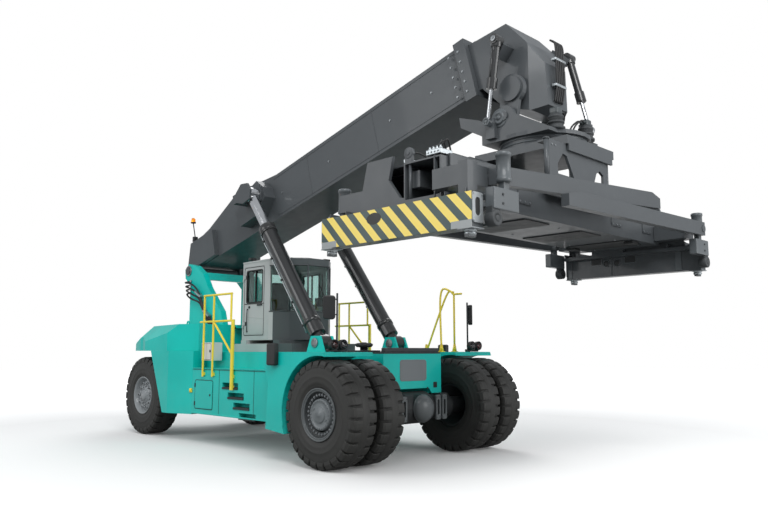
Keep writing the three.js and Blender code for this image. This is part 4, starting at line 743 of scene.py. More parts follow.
# ---------------------------------------------------------------- spreader

SHIFT = -0.27                                   # how far the spreader is shifted to the right
LOCK_AT = SHIFT - 2.9265
LOCK_ROW = 1.1295
END_LOW, END_TOP = 3.085, 3.47
POCKETS, ROUND_HOLES = (-3.38, -2.74), (-3.19, -2.99)       # openings in the inner side of an end beam


def spun(bm, name):
    """The left end of the spreader is the right end turned half round about the slewing axis."""
    if name == "left":
        bmesh.ops.rotate(bm, verts=bm.verts, cent=(SHIFT, SLEW_Y, 0), matrix=Matrix.Rotation(math.pi, 3, "Z"))
    return bm


for name, side in SIDES:
    arm = f"arm_{name}"
    bm = bmesh.new()
    for row in (-1, 1):
        y = SLEW_Y + row * (LOCK_ROW + 0.095)
        ringed(bm, rounded(LOCK_AT, 3.30, 0.178, 0.33, 0.03), rounded(LOCK_AT, 3.31, 0.088, 0.2, 0.044),
               "y", sorted([y, y + row * 0.014]), 0.003)
        block(bm, (LOCK_AT - 0.094, min(y - row * 0.2, y + row * 0.02), END_LOW - 0.012),
              (LOCK_AT + 0.094, max(y - row * 0.2, y + row * 0.02), END_LOW - 0.0005), 0.004)
        studs(bm, [((LOCK_AT + dx, y + row * 0.014, z), (0, row, 0)) for dx in (-0.07, 0.07) for z in (3.155, 3.445)],
              0.02)
    piece(f"corner_casting_{name}", spun(bm, name), CASTING, arm)
    # Dark plates of painted shade fill the openings: the castings' lock apertures, and the pockets and round holes of
    # the end beam.
    bm = bmesh.new()
    for row in (-1, 1):
        y = SLEW_Y + row * (LOCK_ROW + 0.095)
        plate(bm, rounded(LOCK_AT, 3.31, 0.09, 0.202, 0.045), "y", sorted([y, y + row * 0.002]), 0)
    inside = LOCK_AT + 0.0955
    for y in POCKETS:
        plate(bm, rounded(y, 3.375, 0.2, 0.14, 0.02), "x", (inside, inside + 0.002), 0)
    for y in ROUND_HOLES:
        disc(bm, (inside, y, 3.32), (1, 0, 0), 0.052, 0.003, 28, 0.001)
    piece(f"end_openings_{name}", spun(bm, name), PLASTIC_AND_OPENING_SHADE, arm)
    bm = bmesh.new()
    for y in POCKETS:
        ringed(bm, rounded(y, 3.375, 0.23, 0.17, 0.03), rounded(y, 3.375, 0.2, 0.14, 0.02), "x",
               (inside, inside + 0.008), 0.002)
    for y in ROUND_HOLES:
        turned(bm, [(0, 0.052), (0.01, 0.052), (0.01, 0.064), (0, 0.066)], (inside, y, 3.32), (1, 0, 0), 28)
    block(bm, (inside - 0.002, -3.095, 3.1), (inside + 0.012, -3.085, 3.46), 0.002)
    for y in (-3.93, -1.9):
        block(bm, (inside - 0.002, y - 0.05, 3.1), (inside + 0.012, y + 0.05, 3.46), 0.003)
    piece(f"end_frames_{name}", spun(bm, name), BOOM_PALE, arm)
    bm = bmesh.new()
    for row in (-1, 1):
        foot = (LOCK_AT, SLEW_Y + row * LOCK_ROW, END_LOW - 0.012)
        turned(bm, [(0, 0), (0, 0.07), (0.012, 0.07), (0.02, 0.058), (0.03, 0.056), (0.032, 0.066), (0.05, 0.064),
                    (0.068, 0.045), (0.0805, 0.018), (0.0825, 0)], foot, (0, 0, -1), 32)
    piece(f"twistlock_cones_{name}", spun(bm, name), STEEL, arm)
    bm = bmesh.new()
    top = 4.052
    disc(bm, (-3.06, -2.86, top + 0.09), (1, 0, 0), 0.07, 0.05, 28, 0.006)
    disc(bm, (-3.068, -2.86, top + 0.09), (1, 0, 0), 0.03, 0.066, 20, 0.003)
    block(bm, (-3.055, -2.92, top - 0.03), (-3.015, -2.8, top + 0.08), 0.006)
    block(bm, (-2.98, -2.98, 3.72), (-2.7, -2.84, 3.93), 0.008)
    tube(bm, [(-3.03, -2.87, 3.52), (-3.03, -2.87, 4.0)], 0.02, 10, False)
    block(bm, (-3.07, -3.29, 3.54), (-3.01, -3.275, 4.04), 0.004)
    for y in (-3.9, -3.62, -2.0, -1.7):
        block(bm, (LOCK_AT - 0.09, y - 0.006, END_TOP), (LOCK_AT + 0.3, y + 0.006, END_TOP + 0.05), 0.003)
    piece(f"arm_brackets_{name}", spun(bm, name), BOOM, arm)
    bm = bmesh.new()
    block(bm, (-3.05, -3.36, 4.055), (-2.83, -3.14, 4.115), 0.006)
    block(bm, (-2.99, -2.8, 4.055), (-2.86, -2.72, 4.1), 0.005)
    for i in range(4):
        turned(bm, [(0, 0), (0, 0.02), (0.03, 0.02), (0.034, 0.014), (0.05, 0.014), (0.05, 0)],
               (-3.05 + 0.05, -3.33 + 0.055 * i, 4.11), (-0.2, 0, 1), 12)
    studs(bm, [((-3.051, -3.32 + 0.05 * i, 4.085), (-1, 0, 0)) for i in range(4)], 0.024)
    piece(f"end_valves_{name}", spun(bm, name), STEEL, arm)
    bm = bmesh.new()
    for start, bend, end in [
        ((-2.99, -3.33, 4.15), (-2.95, -3.39, 4.22), (-2.76, -3.3, 4.09)),
        ((-2.99, -3.27, 4.15), (-2.92, -3.3, 4.23), (-2.74, -3.22, 4.09)),
        ((-2.93, -2.76, 4.1), (-2.85, -2.82, 4.19), (-2.7, -2.95, 4.09)),
    ]:
        tube(bm, [start, bend, end, (end[0] + 0.2, end[1], 4.075), (end[0] + 0.5, end[1], 4.072)], 0.011, 8, True, 6)
    piece(f"end_hoses_{name}", spun(bm, name), HOSE, arm)

# Folding legs: the bolted caps on their hinge pins.
for name, side in SIDES:
    for place_on_truck, row in (("front", -1), ("rear", 1)):
        if (place_on_truck, name) == ("front", "left"):
            continue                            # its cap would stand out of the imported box
        low, high = [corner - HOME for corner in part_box(f"bottom_leg_{place_on_truck}_{name}")]
        hinge_x, hinge_z = SHIFT + side * 2.5765, 3.7
        outer_y = low.y if row < 0 else high.y
        bm = bmesh.new()
        disc(bm, (hinge_x, outer_y + row * 0.0005, hinge_z), (0, row, 0), 0.05, 0.012, 24, 0.003)
        bolt_circle(bm, (hinge_x, outer_y + row * 0.0125, hinge_z), (0, row, 0), 0.032, 0.014, (0.5, 2.6, 4.7))
        piece(f"leg_hinge_cap_{place_on_truck}_{name}", bm, BOOM, f"leg_{place_on_truck}_{name}")

# Each leg's root: an upright drum, the box under it and the round eye of the fold cylinder.
for place_on_truck, row in (("front", -1), ("rear", 1)):
    for name, side in SIDES:
        x, y = SHIFT + side * 2.56, SLEW_Y + row * 1.31
        bm = bmesh.new()
        turned(bm, [(0, 0), (0, 0.076), (0.012, 0.088), (0.05, 0.088), (0.055, 0.08), (0.29, 0.08), (0.295, 0.088),
                    (0.33, 0.088), (0.34, 0.078), (0.34, 0)], (x, y, 3.61), (0, 0, 1), 40)
        block(bm, (x - 0.05, y - 0.04, 3.5), (x + 0.05, y + 0.04, 3.62), 0.008)
        box_x = sorted((x + side * 0.26, x - side * 0.2))
        block(bm, (box_x[0], y - 0.06, 3.29), (box_x[1], y + 0.06, 3.53), 0.014)
        piece(f"leg_root_{place_on_truck}_{name}", bm, BOOM_PALE, f"leg_{place_on_truck}_{name}")
        bm = bmesh.new()
        eye_at = Vector((x + side * 0.2, y, 3.19))
        turned(bm, [(-0.06, 0.036), (-0.06, 0.082), (-0.052, 0.09), (0.052, 0.09), (0.06, 0.082), (0.06, 0.036)],
               eye_at, (0, 1, 0), 40)
        block(bm, (eye_at.x - 0.07, y - 0.045, 3.22), (eye_at.x + 0.07, y + 0.045, 3.32), 0.01)
        disc(bm, eye_at + Vector((0, row * 0.05, 0)), (0, row, 0), 0.035, 0.014, 24)
        studs(bm, [((x + side * 0.1, y + row * 0.06, z), (0, row, 0)) for z in (3.36, 3.46)], 0.026)
        piece(f"leg_eye_{place_on_truck}_{name}", bm, IRON, f"leg_{place_on_truck}_{name}")

# Frame: seam bars, covers and posts, their bolts, the pads below, junction boxes and hoses.
bm = bmesh.new()
for row in (-1, 1):
    y = SLEW_Y + row * 0.64
    block(bm, (SHIFT - 2.6, min(y, y - row * 0.03), 4.06), (SHIFT + 2.6, max(y, y - row * 0.03), 4.072), 0.003)
    for x in (-2.2, -1.2, 1.2, 2.2):
        block(bm, (SHIFT + x - 0.14, min(y, y + row * 0.012), 3.66), (SHIFT + x + 0.14, max(y, y + row * 0.012), 3.94),
              0.004)
    for x in (-0.79, 0.79):
        post = (SHIFT + x, SLEW_Y + row * 0.73, 3.99)
        tube(bm, [post, (post[0], post[1], 4.6)], 0.034, 16, False)
        disc(bm, (post[0], post[1], 4.6), (0, 0, 1), 0.046, 0.02, 20)
        disc(bm, (post[0], post[1], 3.97), (0, 0, 1), 0.05, 0.03, 20)
    block(bm, (SHIFT - 0.09, min(y, y + row * 0.11), 4.2), (SHIFT + 0.09, max(y, y + row * 0.11), 4.5), 0.004)
piece("frame_bars", bm, BOOM, "spreader")
bm = bmesh.new()
rows = []
for row in (-1, 1):
    y = SLEW_Y + row * 0.6525
    rows += [((SHIFT + x + dx, y, z), (0, row, 0)) for x in (-2.2, -1.2, 1.2, 2.2) for dx in (-0.11, 0, 0.11)
             for z in (3.69, 3.91)]
    rows += [((SHIFT + x, SLEW_Y + row * 0.7602, z), (0, row, 0)) for x in (-0.7, -0.62, 0.22, 0.3, 0.7)
             for z in (4.02, 4.1, 4.54)]
rows += [((SHIFT + x, SLEW_Y + y, 3.5199), (0, 0, -1))
         for x in (-2.4, -1.6, -0.8, 0, 0.8, 1.6, 2.4) for y in (-0.4, 0.4)]
studs(bm, rows, 0.026)
piece("frame_bolts", bm, STEEL_BOLT, "spreader")
bm = bmesh.new()
for x in (-2.0, -0.7, 0.7, 2.0):
    block(bm, (SHIFT + x - 0.3, SLEW_Y - 0.5, 3.505), (SHIFT + x + 0.3, SLEW_Y + 0.5, 3.5195), 0.006)
for row in (-1, 1):
    for x in (-1.9, 1.9):
        y = SLEW_Y + row * 0.52
        block(bm, (SHIFT + x - 0.09, y - 0.08, 3.47), (SHIFT + x + 0.09, y + 0.08, 3.52), 0.01)
piece("frame_pads", bm, PLASTIC_AND_OPENING_SHADE, "spreader")
bm = bmesh.new()
block(bm, (SHIFT + 0.95, SLEW_Y - 0.45, 4.062), (SHIFT + 1.4, SLEW_Y + 0.1, 4.25), 0.012)
block(bm, (SHIFT - 1.5, SLEW_Y - 0.3, 4.062), (SHIFT - 1.05, SLEW_Y + 0.2, 4.2), 0.012)
studs(bm, [((SHIFT + x, SLEW_Y + y, 4.25), (0, 0, 1)) for x in (1.0, 1.35) for y in (-0.4, 0.05)], 0.02)
piece("junction_boxes", bm, CAB_DARK, "spreader")
bm = bmesh.new()
for i in range(6):
    x = SHIFT - 0.95 + 0.036 * i
    tube(bm, [(x, SLEW_Y - 0.25, 4.1), (x, SLEW_Y - 0.44, 4.09), (x + 0.04, SLEW_Y - 0.52, 4.085),
              (x + 0.3, SLEW_Y - 0.56, 4.083), (SHIFT + 0.9, SLEW_Y - 0.5 - 0.006 * i, 4.084),
              (SHIFT + 1.0, SLEW_Y - 0.34, 4.1)], 0.012, 8, True, 8)
piece("frame_hoses", bm, HOSE, "spreader")

# Slewing ring and its motors.
bm = bmesh.new()
clear_of_sides = [a for a in round_steps(36) if abs(math.cos(a)) < 0.93]      # inside the yoke's two side plates
bolt_circle(bm, (0, SLEW_Y, 4.92), (0, 0, 1), 0.56, 0.034, clear_of_sides)
piece("ring_bolts", bm, STEEL_BOLT, "rotator")
bm = bmesh.new()
turned(bm, [(0, 0.63), (0, 0.652), (-0.03, 0.652), (-0.036, 0.646), (-0.036, 0.63)], (0, SLEW_Y, 4.8592), (0, 0, 1), 96)
turned(bm, [(0, 0.63), (0, 0.648), (-0.02, 0.648), (-0.02, 0.63)], (0, SLEW_Y, 4.79), (0, 0, 1), 96)
studs(bm, [((math.cos(a) * 0.652, SLEW_Y + math.sin(a) * 0.652, 4.843), (math.cos(a), math.sin(a), 0))
           for a in round_steps(30)], 0.014)
piece("slewing_ring", bm, BOOM_PALE, "carriage")
for name, side in SIDES:
    low, high = [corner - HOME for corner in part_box(f"slew_motor_{name}")]
    middle = (low + high) / 2
    foot = Vector((middle.x, middle.y, low.z))
    bm = bmesh.new()
    turned(bm, [(0, 0), (0, 0.128), (0.03, 0.13), (0.034, 0.128), (0.034, 0.108), (0.06, 0.1), (0.09, 0.1),
                (0.094, 0.12), (0.12, 0.12), (0.124, 0.1), (0.17, 0.098), (0.178, 0.112), (0.2, 0.112),
                (0.206, 0.092), (0.235, 0.088), (0.24, 0)], foot, (0, 0, 1), 48)
    bolt_circle(bm, foot + Vector((0, 0, 0.034)), (0, 0, 1), 0.119, 0.015, round_steps(12))
    for i in range(5):
        ringed(bm, rounded(middle.x, middle.y, 0.21, 0.21, 0.1), rounded(middle.x, middle.y, 0.15, 0.15, 0.07),
               "z", (low.z + 0.128 + 0.008 * i, low.z + 0.132 + 0.008 * i), 0)
    piece(f"slew_gearbox_{name}", bm, IRON, "rotator", [f"slew_motor_{name}"])
    bm = bmesh.new()
    block(bm, (middle.x - 0.07, middle.y - 0.065, low.z + 0.236),
          (middle.x + 0.07, middle.y + 0.065, high.z - 0.002), 0.02)
    for dy in (-0.03, 0.03):
        turned(bm, [(0, 0), (0, 0.02), (0.02, 0.02), (0.022, 0.015), (0.05, 0.015), (0.05, 0)],
               (middle.x - side * 0.07, middle.y + dy, low.z + 0.28), (-side, 0, 0), 12)
    piece(f"slew_motor_body_{name}", bm, CAB_DARK, "rotator")
    bm = bmesh.new()
    for dy in (-0.03, 0.03):
        start = Vector((middle.x - side * 0.11, middle.y + dy, low.z + 0.28))
        tube(bm, [start, start + Vector((-side * 0.06, 0, 0.0)), start + Vector((-side * 0.14, 0.05, -0.08)),
                  start + Vector((-side * 0.15, 0.12, -0.2)), start + Vector((-side * 0.15, 0.2, -0.262))], 0.013, 10)
    piece(f"slew_hoses_{name}", bm, HOSE, "rotator")

# ---------------------------------------------------------------- cab

DOOR = (3.306, 4.004, 2.096, 3.484)     # front, rear, low, top of a leaf
PANE = (3.37, 3.92, 2.76, 3.41)

for name, side in SIDES:
    leaf = f"door_{name}"
    middle = ((PANE[0] + PANE[1]) / 2, (PANE[2] + PANE[3]) / 2)
    wide, tall = PANE[1] - PANE[0], PANE[3] - PANE[2]
    bm = bmesh.new()
    plate(bm, rounded(*middle, wide - 0.004, tall - 0.004, 0.03), "x", span_x(side, 0.712, 0.718), 0.001)
    piece(f"door_glass_{name}", bm, GLASS, leaf)
    bm = bmesh.new()
    ringed(bm, rounded(*middle, wide + 0.03, tall + 0.03, 0.05), rounded(*middle, wide - 0.03, tall - 0.03, 0.03),
           "x", span_x(side, 0.706, 0.7455), 0.004)
    side_block(bm, side, (0.704, 0.744), (3.6, 3.622), (PANE[2], PANE[3]))
    outer = rounded((DOOR[0] + DOOR[1]) / 2, (DOOR[2] + DOOR[3]) / 2, DOOR[1] - DOOR[0] - 0.006,
                    DOOR[3] - DOOR[2] - 0.006, 0.04)
    inner = rounded((DOOR[0] + DOOR[1]) / 2, (DOOR[2] + DOOR[3]) / 2, DOOR[1] - DOOR[0] - 0.026,
                    DOOR[3] - DOOR[2] - 0.026, 0.034)
    ringed(bm, outer, inner, "x", span_x(side, 0.7395, 0.7425), 0.001)
    side_block(bm, side, (0.7395, 0.7435), (DOOR[0] + 0.02, DOOR[1] - 0.02), (2.725, 2.742), 0.002)
    piece(f"door_rubber_{name}", bm, SEAL_AND_HOLE_SHADE, leaf)
    bm = bmesh.new()
    side_block(bm, side, (0.741, 0.755), (3.36, 3.54), (2.69, 2.72), 0.008)
    tube(bm, [(side * 0.745, 3.37, 2.705), (side * 0.768, 3.38, 2.705), (side * 0.768, 3.46, 2.705),
              (side * 0.745, 3.47, 2.705)], 0.008, 10, True, 5)
    disc(bm, (side * 0.741, 3.81, 2.67), (side, 0, 0), 0.028, 0.014, 20)
    tube(bm, [(side * 0.745, 3.86, 2.62), (side * 0.765, 3.86, 2.6), (side * 0.765, 3.86, 2.2),
              (side * 0.745, 3.86, 2.18)], 0.009, 10, True, 5)
    for z in (2.335, 3.285):
        side_block(bm, side, (0.7405, 0.752), (3.9, 3.97), (z - 0.04, z + 0.04))
    piece(f"door_fittings_{name}", bm, PLASTIC_AND_OPENING_SHADE, leaf)
    bm = bmesh.new()
    corner = [(3.35, 2.13), (3.94, 2.13), (3.9, 2.36), (3.35, 2.31)]
    plate(bm, corner, "x", span_x(side, 0.7398, 0.7445), 0.004)
    plate(bm, [(3.345, 2.42), (3.955, 2.48), (3.955, 2.5), (3.345, 2.44)], "x", span_x(side, 0.7398, 0.7445), 0.002)
    piece(f"door_pressing_{name}", bm, CAB, leaf)

# The slanted panes of the nose, their black surrounds, and the wipers.
CORNERS = [(-0.74, 3.15), (-0.52, 2.76), (-0.26, 2.51), (0.26, 2.51), (0.52, 2.76), (0.74, 3.15)]
bm = bmesh.new()
for (x0, y0), (x1, y1) in zip(CORNERS, CORNERS[1:]):
    along = Vector((x1 - x0, y1 - y0, 0)).normalized()
    out = Vector((along.y, -along.x, 0))
    for z in (2.56, 3.47):
        tube(bm, [Vector((x0, y0, z)) + along * 0.01 - out * 0.004, Vector((x1, y1, z)) - along * 0.01 - out * 0.004],
             0.014, 8, False)
for x, y in CORNERS[1:-1]:
    out = Vector((x, y - 3.4, 0)).normalized()
    foot = Vector((x, y, 0)) - out * 0.016
    tube(bm, [foot + Vector((0, 0, 2.56)), foot + Vector((0, 0, 3.47))], 0.02, 10, False)
piece("nose_glazing_bars", bm, CAB_DARK, "root")
bm = bmesh.new()
for x, sweep in ((-0.12, 0.2), (0.3, -0.3)):
    hub = Vector((x, 2.488, 2.53))
    disc(bm, hub, (0, -1, 0), 0.02, 0.02, 16)
    tip = Vector((max(-0.24, min(0.24, x + sweep)), 2.492, 3.1))
    tube(bm, [hub + Vector((0, -0.01, 0)), hub + (tip - hub) * 0.6 + Vector((0, -0.014, 0)), tip], 0.007, 8)
    tube(bm, [tip + Vector((0, 0, -0.25)), tip + Vector((0, 0, 0.22))], 0.008, 8, False)
piece("wipers", bm, PLASTIC_AND_OPENING_SHADE, "root")
bm = bmesh.new()
plate(bm, rounded(0, 3.065, 1.02, 0.71, 0.05), "y", (4.03, 4.036), 0.001)
piece("rear_glass", bm, GLASS, "root")
bm = bmesh.new()
ringed(bm, rounded(0, 3.065, 1.08, 0.77, 0.08), rounded(0, 3.065, 1.0, 0.69, 0.05), "y", (4.02, 4.066), 0.004)
piece("rear_glass_rubber", bm, SEAL_AND_HOLE_SHADE, "root")

# Roof: gutter, raised cap, hatch, lamps and their stalks.
bm = bmesh.new()
plan = [(-0.73, 4.05), (-0.73, 3.16), (-0.505, 2.77), (-0.25, 2.53), (0.25, 2.53), (0.505, 2.77), (0.73, 3.16),
        (0.73, 4.05)]
wide = [(x * 1.028, 3.4 + (y - 3.4) * 1.022) for x, y in plan]
ringed(bm, wide, [(x * 0.96, 3.4 + (y - 3.4) * 0.96) for x, y in plan], "z", (3.572, 3.604), 0.008)
plate(bm, [(x * 0.93, 3.4 + (y - 3.4) * 0.93) for x, y in plan], "z", (3.585, 3.626), 0.016)
for x in (-0.36, 0.36):
    block(bm, (x - 0.03, 2.9, 3.62), (x + 0.03, 3.9, 3.645), 0.01)
piece("roof_cap", bm, CAB, "root")
bm = bmesh.new()
plate(bm, rounded(0, 3.4, 0.5, 0.5, 0.08), "z", (3.624, 3.652), 0.01)
piece("roof_hatch", bm, CAB_DARK, "root")
bm = bmesh.new()
for x, y in ((-0.605, 3.0), (0.605, 3.0), (-0.63, 3.9), (0.63, 3.9)):
    heading = (0, -1, 0) if y < 3.5 else (0, 1, 0)
    block(bm, (x - 0.075, y - 0.04, 3.645), (x + 0.075, y + 0.04, 3.7), 0.012)
    tube(bm, [(x, y, 3.6), (x, y, 3.66)], 0.012, 8, False)
piece("roof_lamp_housings", bm, PLASTIC_AND_OPENING_SHADE, "root")
bm = bmesh.new()
for x, y, facing in ((-0.605, 2.96, -1), (0.605, 2.96, -1), (-0.63, 3.94, 1), (0.63, 3.94, 1)):
    plate(bm, rounded(x, 3.6725, 0.13, 0.042, 0.012), "y", sorted((y, y + facing * 0.004)), 0.001)
piece("roof_lamp_lenses", bm, LENS, "root")

# Inside: seat, armrests with levers, screen and dash.
bm = bmesh.new()
block(bm, (-0.3, 2.72, 2.07), (0.3, 2.86, 2.5), 0.03)
block(bm, (0.3, 3.2, 2.42), (0.42, 3.66, 2.48), 0.02)
block(bm, (-0.42, 3.2, 2.42), (-0.3, 3.66, 2.48), 0.02)
block(bm, (0.33, 3.0, 2.07), (0.4, 3.62, 2.42), 0.02)
block(bm, (0.42, 2.9, 2.7), (0.46, 3.14, 2.88), 0.01)
for x in (0.36, -0.36):
    tube(bm, [(x, 3.27, 2.47), (x, 3.26, 2.56)], 0.012, 10, False)
    disc(bm, (x, 3.26, 2.55), (0, -0.1, 1), 0.024, 0.045, 16, 0.012)
piece("cab_controls", bm, PLASTIC_AND_OPENING_SHADE, "root")


def cushion(name, low, high, lean, crown, grooves):
    """A padded form: crowned on its broad side, pulled in at its sides, with sewn channels across it."""
    bm = bmesh.new()
    low, high = Vector(low), Vector(high)
    middle, half = (low + high) / 2, (high - low) / 2
    bmesh.ops.create_cube(bm, size=2)
    bmesh.ops.subdivide_edges(bm, edges=bm.edges, cuts=11, use_grid_fill=True)
    for vert in bm.verts:
        p = vert.co.copy()
        q = p.copy()
        round_x, round_y, round_z = (max(0.0, 1 - abs(c) ** 4) for c in p)
        q.x *= 0.93 + 0.07 * (round_y * round_z) ** 0.5
        q.y *= 0.93 + 0.07 * (round_x * round_z) ** 0.5
        q.z *= 0.78 + 0.22 * (round_x * round_y) ** 0.5
        groove = sum(math.exp(-((p.y - g) / 0.035) ** 2) for g in grooves)
        edge_seam = math.exp(-((abs(p.x) - 0.72) / 0.03) ** 2)
        if p.z > 0.2:
            q.z -= crown * (groove * (1 if abs(p.x) < 0.72 else 0) + 0.7 * edge_seam) / half.z
        vert.co = Vector((q.x * half.x, q.y * half.y, q.z * half.z))
    bmesh.ops.rotate(bm, verts=bm.verts, cent=(0, 0, 0), matrix=Matrix.Rotation(lean, 3, "X"))
    bmesh.ops.translate(bm, verts=bm.verts, vec=middle)
    for face in bm.faces:
        face.smooth = True
    made = piece(name, bm, CLOTH, "root", ["operator_seat"])
    puff(made)
    smooth = made.modifiers.new("smooth", "SUBSURF")
    smooth.levels = smooth.render_levels = 1
    return made


PUFF_STEPS, PUFF_MOST = 12, 0.008


def puff(made):
    """A short cloth run with air inside, then applied. No point moves further than PUFF_MOST."""
    rest = [v.co.copy() for v in made.data.vertices]
    cloth = made.modifiers.new("cloth", "CLOTH")
    cloth.settings.use_pressure = True
    cloth.settings.uniform_pressure_force = 4
    cloth.settings.effector_weights.gravity = 0
    for step in range(1, PUFF_STEPS + 1):
        bpy.context.scene.frame_set(step)
    graph = bpy.context.evaluated_depsgraph_get()
    swollen = [v.co.copy() for v in made.evaluated_get(graph).data.vertices]
    made.modifiers.remove(cloth)
    for vert, was, now in zip(made.data.vertices, rest, swollen):
        move = now - was
        if move.length > PUFF_MOST:
            move *= PUFF_MOST / move.length
        vert.co = was + move
    bpy.context.scene.frame_set(1)


cushion("seat_cushion", (-0.245, 3.245, 2.37), (0.245, 3.7, 2.475), 0.0, 0.01, (-0.4, 0.05, 0.5))
cushion("seat_back", (-0.225, 3.46, 2.85), (0.225, 4.1, 2.95), math.radians(82), 0.01, (-0.5, -0.15, 0.2, 0.55))
bm = bmesh.new()
plate(bm, rounded(0, 3.5, 0.3, 0.3, 0.05), "z", (2.062, 2.1), 0.008)
for i in range(5):
    z = 2.1 + 0.038 * i
    plate(bm, rounded(0, 3.5, 0.26 - 0.01 * (i % 2), 0.26 - 0.01 * (i % 2), 0.04), "z", (z, z + 0.036), 0.012)
block(bm, (-0.2, 3.28, 2.29), (0.2, 3.68, 2.37), 0.02)
block(bm, (-0.17, 3.69, 2.34), (0.17, 3.74, 2.6), 0.015)
piece("seat_suspension", bm, PLASTIC_AND_OPENING_SHADE, "root")

# ---------------------------------------------------------------- chassis and bodywork

